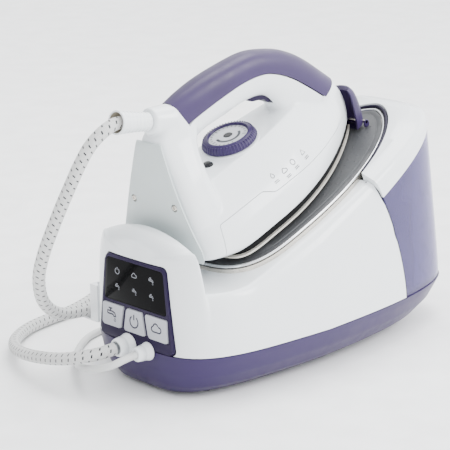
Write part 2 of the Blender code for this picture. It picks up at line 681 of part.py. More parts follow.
def lid_height(x):
    """Height of the lid's lower edge, which is also the tank's rim."""
    return LID_LOW[1] + LID_SLOPE * (x - LID_LOW[0])


def tank_ring(share, wall=0.0):
    """The tank's outline at a share of the way from its floor to its rim."""
    lean = TANK_LEAN * share
    bottom = SEAM_Z + GAP
    x_front = bay_edge(mix(SEAM_Z, LID_LOW[1], share)) + TANK_GAP + wall
    ring = []
    for x, y in rear_outline(x_front, lean + wall, lean * 0.16 + wall + 0.0004):
        z = mix(bottom, lid_height(x) - GAP, share)
        ring.append((x, y, z))
    return ring


def build_tank():
    """The slide-out water tank: an open cup, its outlet valve, and the white lid that wraps the rest's nose."""
    levels = (0.0, 0.25, 0.5, 0.75, 1.0)
    outer = [tank_ring(share) for share in levels]
    inner = [tank_ring(share, TANK_WALL) for share in reversed(levels[1:])]
    floor = [(x, y, SEAM_Z + GAP + TANK_WALL) for x, y, z in tank_ring(0.0, TANK_WALL)]
    loft("water_tank", outer + inner + [floor], LAVENDER)
    turned("tank_valve", [(0.0, 0.012), (0.006, 0.012), (0.008, 0.006), (0.008, 0.0), (0.0, 0.0)], BRASS,
           Matrix.Translation((0.100, 0.0, SEAM_Z + 2 * GAP + TANK_WALL)), sides=16)

    def lid_ring(share, inset):
        ring = []
        for x, y in rear_outline(bay_edge(mix(LID_LOW[1], 0.180, share)) + TANK_GAP, TANK_LEAN + inset,
                                 TANK_LEAN * 0.16 + inset):
            top = min(rest_height(x) + 0.003, LID_TOP_Z)
            ring.append((x, y, mix(lid_height(x), top, share)))
        return ring

    lid = loft("tank_lid", [lid_ring(0.0, 0.0), lid_ring(0.45, 0.0010), lid_ring(0.80, 0.0065), lid_ring(1.0, 0.018)],
               WHITE)
    outline = [(x, y) for x, y in rest_outline(LID_MARGIN)]
    recess = slab("lid_cutter", outline, lambda x: lid_height(x) + LID_FLOOR, lambda x: rest_height(x) + 0.03,
                  None, group=CUTTERS)
    filler = cylinder("filler_cutter", (0.095, 0, 0.10), (0.095, 0, 0.24), FILLER_RADIUS, None, group=CUTTERS)
    cut(lid, recess, filler)


# ---------------------------------------------------------------- iron
def sole_outline(offset=0.0, nose=SOLE_NOSE, tail=SOLE_TAIL, half=SOLE_HALF_WIDTH, steps=STEPS):
    """The soleplate's plan as (x, y) points: a pointed nose and a blunt rounded tail."""
    points = []
    for i in range(steps):
        angle = 2 * math.pi * (i + 0.5) / steps
        c, s = math.cos(angle), math.sin(angle)
        if c < 0:
            x = SOLE_MIDDLE + (SOLE_MIDDLE - tail + offset) * power(c, 1 / 3)
            y = (half + offset) * power(s, 1 / 3)
        else:
            share = c ** 0.75
            x = SOLE_MIDDLE + (nose - SOLE_MIDDLE + offset) * share
            y = math.copysign((half + offset) * (1 - share**1.85) ** 0.95, s)
        points.append((x, y))
    return points


def heel_x(z):
    """The iron's rear face, which leans forward as it rises."""
    rise = z - HEEL_FOOT_Z
    return -0.0615 + 0.086 * rise + 1.16 * rise * rise


def heel_half_width(z):
    """Half width of the rear face: a flared foot, drawn in to a slim top."""
    share = (z - HEEL_FOOT_Z) / (HEEL_TOP_Z - HEEL_FOOT_Z)
    foot = 0.0575 - 0.0070 * max(0.0, 1 - share / 0.13)
    return mix(foot, 0.0150, max(0.0, min(1.0, (share - 0.06) / 0.94)) ** 0.86)


def at_height(outline, z):
    return [(x, y, z) for x, y in outline]


def build_sole(iron):
    """The hot end: soleplate, cast heater, its element and cover, the heat shield and the white skirt."""
    loft("soleplate", [at_height(sole_outline(-0.0012), 0.0), at_height(sole_outline(), 0.0009),
                       at_height(sole_outline(), SOLE_THICKNESS)], STEEL, iron)
    inside = -0.0075
    floor = SOLE_THICKNESS + GAP
    loft("heater_casting", [at_height(sole_outline(inside), floor), at_height(sole_outline(inside), 0.0105)],
         CAST, iron)
    element = [(0.0090, 0.030, 0.0142), (0.060, 0.040, 0.0142), (0.110, 0.030, 0.0142), (0.150, 0.013, 0.0142),
               (0.158, 0.0, 0.0142), (0.150, -0.013, 0.0142), (0.110, -0.030, 0.0142), (0.060, -0.040, 0.0142),
               (0.0090, -0.030, 0.0142)]
    tube("heating_element", smooth_route(element, 0.016), 0.0032, CAST, iron)
    chamber = sole_outline(-0.036, nose=0.172)
    loft("steam_chamber_cover", [at_height(chamber, 0.0108), at_height(chamber, 0.0150)], STEEL, iron)
    outer = [at_height(sole_outline(-0.0034), SHIELD_TOP), at_height(sole_outline(-0.0030), floor)]
    inner = [at_height(sole_outline(-0.0058), floor), at_height(sole_outline(-0.0058), SHIELD_TOP - 0.0025)]
    loft("heat_shield", outer + inner, BLACK, iron)
    skirt = []
    for z, nose, tail, half in ((SKIRT_BOTTOM, 0.2045, -0.020, 0.0608), (0.0140, 0.2060, -0.045, 0.0618),
                                (HEEL_FOOT_Z, 0.2072, heel_x(HEEL_FOOT_Z) + 0.0035, 0.0622),
                                (SKIRT_TOP, 0.2075, heel_x(SKIRT_TOP) + 0.0035, 0.0605)):
        skirt.append((z, nose, tail, half))
    outside = [at_height(sole_outline(0.0, n, t, h), z) for z, n, t, h in skirt]
    lining = [at_height(sole_outline(-0.0022, n, t, h), z) for z, n, t, h in reversed(skirt)]
    loft("iron_skirt", outside + lining, WHITE, iron, endless=True)


def arch_section(low, high, half, count=9):
    """Half an ellipse standing on the line from low to high, both (x, z), as mirrored 3-D points."""
    points = []
    for i in range(count):
        angle = math.pi * i / (count - 1)
        rise = math.sin(angle) ** 0.8
        points.append((mix(low[0], high[0], rise), -half * power(math.cos(angle), 0.8), mix(low[1], high[1], rise)))
    return points


HANDLE = (  # grip's crown, grip's lower edge, underside of the handle, half width, all (x, z) along the arch
    ((-0.0032, 0.1514), (0.0019, 0.1267), (0.0060, 0.1040), 0.0125),
    ((0.0157, 0.1529), (0.0232, 0.1289), (0.0245, 0.1075), 0.0148),
    ((0.0438, 0.1529), (0.0515, 0.1294), (0.0515, 0.1060), 0.0158),
    ((0.0836, 0.1487), (0.0790, 0.1279), (0.0790, 0.1045), 0.0162),
    ((0.1060, 0.1440), (0.1018, 0.1230), (0.1000, 0.0985), 0.0165),
    ((0.1269, 0.1344), (0.1170, 0.1152), (0.1090, 0.0880), 0.0168),
    ((0.1453, 0.1227), (0.1340, 0.1014), (0.1135, 0.0740), 0.0172),
    ((0.1650, 0.1030), (0.1494, 0.0840), (0.1170, 0.0600), 0.0180),
    ((0.1905, 0.0680), (0.1680, 0.0600), (0.1250, 0.0500), 0.0190),
)


def build_housing(iron):
    """The white housing (hull, rear tower and handle core in one), the grip, the heel cover and its screws."""
    hull = []
    for z, nose, half in ((SKIRT_TOP + GAP, 0.2074, 0.0600), (0.0400, 0.2060, 0.0562), (0.0500, 0.2020, 0.0490),
                          (0.0620, 0.1950, 0.0385), (DECK_Z, 0.1860, 0.0285)):
        hull.append((z, nose, heel_x(z) + 0.0035, half))
    outside = [at_height(sole_outline(0.0, n, t, h), z) for z, n, t, h in hull]
    lining = [at_height(sole_outline(-WALL, n, t, h), z) for z, n, t, h in reversed(hull[:-1])]
    roof = at_height(sole_outline(-WALL, 0.1880, heel_x(DECK_Z) + 0.0035, 0.0310), DECK_Z - WALL)
    housing = loft("iron_housing", [roof] + lining + outside, WHITE, iron)
    tower = []
    for z, front, half in ((0.0480, 0.0000, 0.0490), (0.0660, -0.0030, 0.0440), (0.0920, 0.0000, 0.0340),
                           (0.1080, 0.0060, 0.0250), (0.1230, 0.0160, 0.0180), (0.1480, 0.0000, 0.0110)):
        back = heel_x(min(z, HEEL_TOP_Z)) + HEEL_COVER + GAP + (0.010 if z > HEEL_TOP_Z else 0.0)
        ring = []
        for i in range(16):
            angle = 2 * math.pi * (i + 0.5) / 16
            c, s = math.cos(angle), math.sin(angle)
            wide = half * (1 - 0.25 * max(0.0, c))
            ring.append(((back + front) / 2 + (front - back) / 2 * power(c, 0.45), wide * power(s, 0.45), z))
        tower.append(ring)
    tower = loft("tower_helper", tower, None, iron, group=CUTTERS)
    core = []
    for crown, edge, under, half in HANDLE:
        core.append(arch_section((mix(edge[0], crown[0], 0.1), mix(edge[1], crown[1], 0.1)), under, half))
    core = loft("core_helper", core, None, iron, group=CUTTERS)
    boss_end = (SLEEVE_START[0] + 0.0006, 0, SLEEVE_START[1] - GAP)
    boss = cylinder("boss_helper", (BOSS_START[0], 0, BOSS_START[1]), boss_end, BOSS_RADII[0], None, iron, 20, CUTTERS,
                    BOSS_RADII[1])
    join(housing, tower, core, boss)
    seat = []
    for number, (crown, edge, under, half) in enumerate(HANDLE):
        ahead = {0: (-2 * GAP, 0.0), len(HANDLE) - 1: (GAP, -2 * GAP)}.get(number, (0.0, 0.0))
        low = (mix(edge[0], under[0], 0.016) + ahead[0], mix(edge[1], under[1], 0.016) + ahead[1])
        high = (mix(edge[0], crown[0], 1.4) + ahead[0], mix(edge[1], crown[1], 1.4) + ahead[1])
        seat.append(arch_section(low, high, half + 0.0035))
    cut(housing, loft("grip_seat", seat, None, iron, group=CUTTERS))
    slot = box("trigger_slot", (0.0850, -0.0073, 0.0846), (0.1258, 0.0073, 0.1120), None, iron, group=CUTTERS)
    shaft = cylinder("shaft_hole", (DIAL_X, 0, 0.055), (DIAL_X, 0, 0.075), 0.0042, None, iron, 16, CUTTERS)
    lamp_x, lamp_y = LAMP_SEAT
    recess = cylinder("lamp_recess", (lamp_x, lamp_y, DECK_Z - 0.0012), (lamp_x, lamp_y, DECK_Z + 0.01),
                      LAMP_RADIUS + GAP, None, iron, 16, CUTTERS)
    cut(housing, recess, shaft, slot)
    cylinder("indicator_lamp", (lamp_x, lamp_y, DECK_Z - 0.0009), (lamp_x, lamp_y, DECK_Z + 0.0012), LAMP_RADIUS,
             BLACK, iron, 16, radius_end=LAMP_RADIUS - 0.0006)
    loft("grip_cover", [arch_section(edge, crown, half) for crown, edge, under, half in HANDLE], GRIP_PURPLE, iron)

    heights = [HEEL_FOOT_Z + 0.0006, 0.0290, 0.0400, 0.0560, 0.0740, 0.0920, 0.1100, HEEL_TOP_Z - 0.004]
    face = [(z, heel_half_width(z)) for z in heights]
    ring = [(heel_x(z), -w, z) for z, w in face] + [(heel_x(z), w, z) for z, w in reversed(face)]
    cover = loft("heel_cover", [ring, [(x + HEEL_COVER, y, z) for x, y, z in ring]], HEEL_GREY, iron)
    for side, y in (("left", 0.0274), ("right", -0.0274)):
        start = Vector((heel_x(0.0737) - 0.005, y, 0.0745))
        end = Vector((heel_x(0.0737) + 0.0019, y, 0.0733))
        cut(cover, cylinder(f"screw_recess_{side}", start, end, 0.0036, None, iron, 16, CUTTERS))
        head = end - (end - start).normalized() * GAP
        cylinder(f"heel_screw_{side}", head - (end - start).normalized() * 0.0011, head, 0.0030, STEEL, iron, 16)


def build_iron_controls(iron):
    """Trigger and its switch, dial with shaft and thermostat, lamp, hose boss and the hose's sleeve."""
    pivot = empty("trigger_pivot", (0.0885, 0, 0.1045), parent=iron)
    lever = [(-0.0025, -0.0020), (0.0, -0.0030), (0.0140, -0.0065), (0.0190, -0.0100), (0.0250, -0.0095),
             (0.0335, -0.0150), (0.0345, -0.0125), (0.0250, -0.0050), (0.0120, 0.0010), (0.0, 0.0025),
             (-0.0025, 0.0015)]
    bar("steam_trigger", lever, 0.0062, PURPLE, pivot)
    box("microswitch", (0.0900, -0.0050, 0.1085), (0.1050, 0.0050, 0.1115), BLACK, iron)

    dial = empty("dial_axis", (DIAL_X, 0, DECK_Z + DIAL_LIFT), parent=iron)
    profile = [(0.0, DIAL_HEIGHT), (DIAL_RADIUS * 0.80, DIAL_HEIGHT), (DIAL_RADIUS * 0.86, DIAL_HEIGHT - 0.0008),
               (DIAL_RADIUS * 0.97, DIAL_HEIGHT * 0.55), (DIAL_RADIUS, 0.0), (0.0, 0.0)]
    turned("temperature_dial", profile, PURPLE, parent=dial, sides=32)
    cylinder("thermostat", (DIAL_X, 0, 0.0400), (DIAL_X, 0, 0.0560), 0.0120, BRASS, iron, 20)
    (x0, z0), (x1, z1) = SLEEVE_START, SLEEVE_END
    cylinder("hose_sleeve", (x0, 0, z0), (x1, 0, z1), SLEEVE_RADII[0], WHITE, iron, 20, radius_end=SLEEVE_RADII[1])


# ---------------------------------------------------------------- latch, hook
def build_latch(rest):
    """The transport latch over the iron's nose, on its bracket and pin, in the rest's pitched frame."""
    pivot_x, pivot_z = LATCH_PIVOT
    pivot = empty("latch_pivot", (pivot_x, 0, pivot_z), parent=rest)
    profile = [(-0.0055, -0.0026), (-0.0057, 0.0375), (-0.0062, 0.0420), (-0.0015, 0.0415), (0.0022, 0.0355),
               (0.0048, 0.0250), (0.0056, 0.0120), (0.0050, 0.0020), (0.0034, -0.0014), (0.0, -0.0030)]
    latch = bar("nose_latch", profile, LATCH_HALF_WIDTH, GRIP_PURPLE, pivot)
    hole = cylinder("latch_hole", (0, -0.02, 0), (0, 0.02, 0), 0.0019, None, pivot, 12, CUTTERS)
    cut(latch, hole)
    cylinder("latch_pin", (pivot_x, -0.0155, pivot_z), (pivot_x, 0.0155, pivot_z), 0.0015, STEEL, rest, 12)
    ear = [(pivot_x - 0.005, -PAD_HEIGHT), (pivot_x + 0.005, -PAD_HEIGHT), (pivot_x + 0.0035, pivot_z + 0.0035),
           (pivot_x - 0.0035, pivot_z + 0.0035)]
    bracket = bar("latch_bracket", ear, 0.0152, PURPLE, rest)
    room = box("latch_room", (pivot_x - 0.02, -0.0128, -0.0014), (pivot_x + 0.02, 0.0128, 0.03), None, rest,
               group=CUTTERS)
    bore = cylinder("bracket_bore", (pivot_x, -0.02, pivot_z), (pivot_x, 0.02, pivot_z), 0.0019, None, rest, 12,
                    CUTTERS)
    cut(bracket, room, bore)


def build_hook():
    """The hose hook on the casing's far flank: a cheek, and a lip with an upturned end that the hose lies in."""
    thickness = 0.0017
    inner_y = seam_half_width(HOOK_REAR_X) + GAP
    front_y = seam_half_width(HOOK_FRONT_X) + 0.0035
    cheek = [(HOOK_FRONT_X, front_y), (HOOK_FRONT_X, inner_y + thickness), (HOOK_REAR_X, inner_y + thickness),
             (HOOK_REAR_X, inner_y), (HOOK_FRONT_X + 0.0060, inner_y - 0.0010), (HOOK_FRONT_X + 0.0028, front_y)]
    bm = bmesh.new()
    sides = [[bm.verts.new((x, y, z)) for x, y in cheek] for z in (SEAM_Z + 0.001, HOOK_TOP_Z)]
    for i in range(len(cheek)):
        j = (i + 1) % len(cheek)
        bm.faces.new((sides[0][i], sides[0][j], sides[1][j], sides[1][i]))
    for side in sides:
        bm.faces.new(side)
    hook = add("hose_hook", mesh_from(bm, "hose_hook", smooth=False), WHITE)
    start_y = inner_y + thickness / 2
    hose_y, hose_z = HOOK_HOSE
    end_y = hose_y + HOSE_RADIUS + 2 * GAP
    lip_z = hose_z - HOSE_RADIUS - 4 * GAP
    lip = [(start_y, lip_z - thickness), (end_y + thickness, lip_z - thickness), (end_y + thickness, lip_z + 0.007),
           (end_y, lip_z + 0.007), (end_y, lip_z), (start_y, lip_z)]
    return join(hook, plate_yz("hook_lip", lip, HOOK_REAR_X - 0.016, HOOK_REAR_X - 0.003, None, group=CUTTERS))


# ---------------------------------------------------------------- hose and mains lead
def build_coil(name, place, radius, columns, mat):
    """The outer shape of a coil of two layers: a turned ring standing on the floor."""
    x, y, middle = place
    outer, inner, height = middle + columns * radius, middle - columns * radius, 4 * radius
    profile = [(outer, height), (outer, 0.0), (inner, 0.0), (inner, height)]
    turned(name, profile, mat, Matrix.Translation((x, y, 0.0)), sides=36)


def build_cords():
    """The steam hose and the mains lead: free stretches, stored coils and the plug."""
    tube("hose_upper", smooth_route(HOSE_UPPER, 0.026), HOSE_RADIUS, BRAID)
    build_coil("hose_coil", HOSE_COIL, HOSE_RADIUS, 1, BRAID)
    tube("hose_lower", smooth_route(HOSE_LOWER, 0.026), HOSE_RADIUS, BRAID)
    tube("lead", smooth_route(LEAD_OUT, 0.015), LEAD_RADIUS, LEAD_WHITE)
    build_coil("lead_coil", LEAD_COIL, LEAD_RADIUS, LEAD_COLUMNS, LEAD_WHITE)
    tube("lead_end", smooth_route(LEAD_END, 0.012), LEAD_RADIUS, LEAD_WHITE)
    profile = [(0.0, 0.040), (PLUG_RADIUS, 0.040), (PLUG_RADIUS, 0.030), (0.0145, 0.022), (0.0065, 0.012),
               (0.0055, 0.0), (0.0, 0.0)]
    place = Matrix.Translation(PLUG_FOOT) @ Matrix.Rotation(-math.pi / 2, 4, "X")
    plug = turned("plug", profile, LEAD_WHITE, place, sides=24)
    x, y, z = PLUG_FOOT
    for side, offset in (("left", -PIN_SPREAD), ("right", PIN_SPREAD)):
        join(plug, cylinder(f"pin_{side}", (x + offset, y + 0.038, z), (x + offset, y + 0.040 + PIN_LENGTH, z),
                            PIN_RADIUS, None, sides=12, group=CUTTERS))


def main():
    build_tray()
    build_feet()
    build_casing()
    build_base_inside()
    build_panel()
    build_rest()
    build_tank()
    rest = empty("rest_frame", (REST_X, 0, REST_Z + PAD_HEIGHT + GAP), (0, -REST_PITCH, 0))
    iron = empty("iron_frame", (0, 0, 0), parent=rest)
    build_sole(iron)
    build_housing(iron)
    build_iron_controls(iron)
    build_latch(rest)
    build_hook()
    build_cords()


main()
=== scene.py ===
"""The looks of a steam generator iron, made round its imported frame.

Each sub-assembly is a class that holds its sizes and builds its pieces. Lengths are in metres, +Z is up,
+X points to the water tank and -X to the control panel. The parked iron is built flat in its own frame
and then pitched.
"""

from __future__ import annotations

import json
import logging
import math
from dataclasses import dataclass
from enum import Enum
from typing import Callable, Iterable, Sequence

import bmesh
import bpy
from mathutils import Matrix, Vector
from mathutils.bvhtree import BVHTree

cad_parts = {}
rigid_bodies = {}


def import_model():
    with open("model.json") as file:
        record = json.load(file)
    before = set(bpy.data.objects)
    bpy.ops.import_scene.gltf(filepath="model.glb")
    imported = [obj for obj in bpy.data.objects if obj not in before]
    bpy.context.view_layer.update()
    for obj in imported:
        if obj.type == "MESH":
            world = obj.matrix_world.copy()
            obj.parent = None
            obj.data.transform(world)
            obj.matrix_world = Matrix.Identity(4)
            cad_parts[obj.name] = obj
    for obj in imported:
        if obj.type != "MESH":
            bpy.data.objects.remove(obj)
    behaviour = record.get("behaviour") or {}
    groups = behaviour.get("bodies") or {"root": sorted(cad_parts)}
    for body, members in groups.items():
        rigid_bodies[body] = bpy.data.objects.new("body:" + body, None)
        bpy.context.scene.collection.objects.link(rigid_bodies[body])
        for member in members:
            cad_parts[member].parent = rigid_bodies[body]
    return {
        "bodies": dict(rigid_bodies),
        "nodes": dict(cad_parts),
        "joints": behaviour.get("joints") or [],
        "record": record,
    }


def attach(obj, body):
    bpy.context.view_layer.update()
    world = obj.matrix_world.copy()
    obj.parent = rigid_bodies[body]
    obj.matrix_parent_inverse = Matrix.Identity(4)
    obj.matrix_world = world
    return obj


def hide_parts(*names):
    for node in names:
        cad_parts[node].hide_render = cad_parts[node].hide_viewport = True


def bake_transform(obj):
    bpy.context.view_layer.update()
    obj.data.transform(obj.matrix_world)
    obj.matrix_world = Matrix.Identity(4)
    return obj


LOG = logging.getLogger("steam_generator_iron")
Point = Sequence[float]
Flat = tuple[float, float]
Colour = tuple[float, float, float]
Table = tuple[tuple[float, ...], ...]
Mesh = bmesh.types.BMesh
Object = bpy.types.Object
Node = bpy.types.Node
Socket = bpy.types.NodeSocket
shifted = Matrix.Translation
GAP = 0.0003  # between pieces that touch
UNIT = (1, 1, 1)
LEVEL = (0, 0, 0)


class Body(str, Enum):
    """The rigid bodies that pieces ride on."""

    BASE = "base"
    IRON = "iron"
    TRIGGER = "trigger"
    DIAL = "dial"
    TANK = "tank"
    LEVEL_KEY = "steam_level_key"
    POWER_KEY = "power_key"
    TAP_KEY = "tap_key"
    LATCH = "latch"


# ---------------------------------------------------------------- small mathematics
def mix(a: float, b: float, t: float) -> float:
    """The value a share t of the way from a to b."""
    return a + (b - a) * t


def ease(t: float) -> float:
    """A smooth step from 0 to 1."""
    t = max(0.0, min(1.0, t))
    return t * t * (3 - 2 * t)


def signed_power(value: float, exponent: float) -> float:
    """A power that keeps the sign of its base."""
    return math.copysign(abs(value) ** exponent, value)


def length_of(points: Sequence[Vector]) -> float:
    """The length of a polyline."""
    return sum((q - p).length for p, q in zip(points, points[1:]))


def catmull(points: Sequence[Point], spacing: float) -> list[Vector]:
    """Evenly spaced points on a centripetal Catmull-Rom curve.

    Args:
        points: the curve's own points.
        spacing: distance between the points returned.

    Returns:
        The points, both ends included.
    """
    given = [Vector(p) for p in points]
    given = [2 * given[0] - given[1]] + given + [2 * given[-1] - given[-2]]
    dense: list[Vector] = []
    for a, b, c, d in zip(given, given[1:], given[2:], given[3:]):
        knots = [0.0]
        for p, q in ((a, b), (b, c), (c, d)):
            knots.append(knots[-1] + math.sqrt(max((q - p).length, 1e-6)))
        t0, t1, t2, t3 = knots
        for k in range(16):
            t = mix(t1, t2, k / 16)
            ab = a.lerp(b, (t - t0) / (t1 - t0))
            bc = b.lerp(c, (t - t1) / (t2 - t1))
            cd = c.lerp(d, (t - t2) / (t3 - t2))
            before = ab.lerp(bc, (t - t0) / (t2 - t0))
            after = bc.lerp(cd, (t - t1) / (t3 - t1))
            dense.append(before.lerp(after, (t - t1) / (t2 - t1)))
    dense.append(given[-2])
    return respaced(dense, spacing)


def respaced(dense: Sequence[Vector], spacing: float) -> list[Vector]:
    """The polyline's points read off at even distances along it.

    Args:
        dense: a polyline.
        spacing: the wanted distance.

    Returns:
        The even points, both ends included.
    """
    total = length_of(dense)
    wanted = max(2, round(total / spacing))
    out, walked, target = [dense[0]], 0.0, total / wanted
    for p, q in zip(dense, dense[1:]):
        step = (q - p).length
        while walked + step >= target and len(out) < wanted:
            out.append(p.lerp(q, (target - walked) / step))
            target += total / wanted
        walked += step
    return out + [dense[-1]]


def table_at(table: Sequence[Sequence[float]], t: float) -> list[float]:
    """A smooth reading of a table of rows.

    Args:
        table: rows of numbers, evenly spaced from 0 to 1.
        t: where to read, from 0 to 1.

    Returns:
        The row at t, from a Catmull-Rom curve through each column.
    """
    span = t * (len(table) - 1)
    i = min(int(span), len(table) - 2)
    f = span - i
    rows = [table[max(0, min(len(table) - 1, i + k))] for k in (-1, 0, 1, 2)]
    return [
        0.5 * (2 * b + (c - a) * f + (2 * a - 5 * b + 4 * c - d) * f**2 + (3 * b - a - 3 * c + d) * f**3)
        for a, b, c, d in zip(*rows)
    ]


def inset_polygon(corners: Sequence[Flat], inset: float) -> list[Flat]:
    """A convex polygon with every edge moved inwards.

    Args:
        corners: its corners, counter-clockwise.
        inset: how far the edges move, outwards if negative.

    Returns:
        The new corners.
    """
    out = []
    for p, q, r in zip([corners[-1], *corners[:-1]], corners, [*corners[1:], corners[0]]):
        u, v = (Vector(q) - Vector(p)).normalized(), (Vector(r) - Vector(q)).normalized()
        half = max(0.05, 1 + u.dot(v))
        shift = (Vector((-u.y, u.x)) + Vector((-v.y, v.x))) * inset / half
        out.append((q[0] + shift.x, q[1] + shift.y))
    return out


def rounded(corners: Sequence[Flat], radius: float, steps: int = 7) -> list[Flat]:
    """A convex polygon with its corners rounded.

    Args:
        corners: the polygon's corners, counter-clockwise.
        radius: distance from a corner at which the rounding starts.
        steps: points on each rounded corner.

    Returns:
        The outline's points.
    """
    out = []
    for p, q, r in zip([corners[-1], *corners[:-1]], corners, [*corners[1:], corners[0]]):
        corner = Vector(q)
        start = corner + (Vector(p) - corner).normalized() * radius
        end = corner + (Vector(r) - corner).normalized() * radius
        for k in range(steps):
            t = k / (steps - 1)
            point = start * (1 - t) ** 2 + corner * 2 * t * (1 - t) + end * t**2
            out.append((point.x, point.y))
    return out


# ---------------------------------------------------------------- finishes
class NodeWriter:
    """Adds nodes to one node tree, with their settings and links, in single calls."""

    def __init__(self, tree: bpy.types.NodeTree) -> None:
        """Keeps the tree that the nodes go in."""
        self.tree = tree

    def node(self, kind: str, inputs: dict | None = None, **settings: object) -> Node:
        """A new node.

        Args:
            kind: the node's type name.
            inputs: values, or sockets to link from, by input name or number.
            settings: the node's own properties.

        Returns:
            The node.
        """
        made = self.tree.nodes.new(kind)
        for name, value in settings.items():
            setattr(made, name, value)
        for key, value in (inputs or {}).items():
            if isinstance(value, Socket):
                self.tree.links.new(value, made.inputs[key])
            else:
                made.inputs[key].default_value = value
        return made

    def math(self, operation: str, a: object, b: object = 0.0) -> Socket:
        """The result of a mathematical operation on two values or sockets."""
        return self.node("ShaderNodeMath", {0: a, 1: b}, operation=operation).outputs[0]

    def noise(self, vector: Socket, scale: float, detail: float = 2.0) -> Socket:
        """A noise value at a vector."""
        found = self.node("ShaderNodeTexNoise", {"Vector": vector, "Scale": scale, "Detail": detail})
        return found.outputs["Fac"]

    def ramp(self, value: Socket, low: float, high: float, a: float, b: float) -> Socket:
        """A value mapped from one range to another, and held at its ends."""
        made = self.node("ShaderNodeMapRange", {0: value, 1: low, 2: high, 3: a, 4: b})
        return made.outputs[0]

    def colours(self, share: object, first: Colour, second: Colour) -> Socket:
        """A colour between two.

        Args:
            share: a value or a socket, 0 for the first and 1 for the second.
            first: one colour.
            second: the other.

        Returns:
            The colour's socket.
        """
        made = self.node("ShaderNodeMix", data_type="RGBA")
        if isinstance(share, Socket):
            self.tree.links.new(share, made.inputs[0])
        else:
            made.inputs[0].default_value = share
        made.inputs[6].default_value = (*first, 1.0)
        made.inputs[7].default_value = (*second, 1.0)
        return made.outputs[2]


@dataclass(frozen=True)
class Finish:
    """A moulded plastic or rubber, with a fine grain and a faint unevenness of gloss and colour."""

    name: str
    slot: str
    colour: Colour
    roughness: float = 0.4
    metallic: float = 0.0
    coat: float = 0.0
    grain: float = 0.02
    grain_scale: float = 1800.0
    uneven: float = 0.05
    shade: float = 0.94
    specular: float = 0.5

    def material(self) -> bpy.types.Material:
        """This finish's material, made once."""
        found = bpy.data.materials.get(self.name)
        if found:
            return found
        made = bpy.data.materials.new(self.name)
        made.use_nodes = True
        shader = made.node_tree.nodes["Principled BSDF"]
        shader.inputs["Base Color"].default_value = (*self.colour, 1.0)
        shader.inputs["Roughness"].default_value = self.roughness
        shader.inputs["Metallic"].default_value = self.metallic
        shader.inputs["Coat Weight"].default_value = self.coat
        shader.inputs["Specular IOR Level"].default_value = self.specular
        self.write(NodeWriter(made.node_tree), shader)
        return made

    def write(self, nodes: NodeWriter, shader: Node) -> None:
        """Adds this finish's procedural nodes before its shader.

        Args:
            nodes: writer of the material's tree.
            shader: the Principled shader.
        """
        place = nodes.node("ShaderNodeTexCoord").outputs["Object"]
        cloud = nodes.noise(place, 22.0, 3.0)
        darker = tuple(self.shade * value for value in self.colour)
        nodes.tree.links.new(nodes.colours(nodes.ramp(cloud, 0.35, 0.65, 0.0, 1.0), darker, self.colour),
                             shader.inputs["Base Color"])
        low, high = self.roughness - self.uneven, self.roughness + self.uneven
        nodes.tree.links.new(nodes.ramp(nodes.noise(place, 90.0), 0.3, 0.7, max(0.02, low), high),
                             shader.inputs["Roughness"])
        self.bump(nodes, shader, nodes.noise(place, self.grain_scale, 1.0), self.grain)

    def bump(self, nodes: NodeWriter, shader: Node, height: Socket, strength: float,
             distance: float = 0.0004) -> None:
        """Gives the shader a bump from a height."""
        made = nodes.node("ShaderNodeBump", {"Height": height, "Strength": strength, "Distance": distance})
        nodes.tree.links.new(made.outputs["Normal"], shader.inputs["Normal"])


@dataclass(frozen=True)
class BrushedFinish(Finish):
    """A metal brushed along one direction."""

    stretch: tuple[float, float, float] = (30.0, 1200.0, 1200.0)

    def write(self, nodes: NodeWriter, shader: Node) -> None:
        """Streaks of gloss and height along the brushing."""
        place = nodes.node("ShaderNodeTexCoord").outputs["Object"]
        turned = nodes.node("ShaderNodeMapping", {"Vector": place, "Scale": self.stretch})
        streaks = nodes.noise(turned.outputs[0], 1.0, 4.0)
        darker = tuple(0.8 * value for value in self.colour)
        nodes.tree.links.new(nodes.colours(streaks, darker, self.colour), shader.inputs["Base Color"])
        nodes.tree.links.new(nodes.ramp(streaks, 0.3, 0.7, self.roughness, self.roughness + 0.14),
                             shader.inputs["Roughness"])
        self.bump(nodes, shader, streaks, 0.05)


@dataclass(frozen=True)
class ClearFinish(Finish):
    """A tinted clear plastic, slightly frosted, that shows what is behind it."""

    alpha: float = 0.6

    def write(self, nodes: NodeWriter, shader: Node) -> None:
        """The grain, and a see-through share."""
        super().write(nodes, shader)
        shader.inputs["Transmission Weight"].default_value = self.alpha
        shader.inputs["IOR"].default_value = 1.2


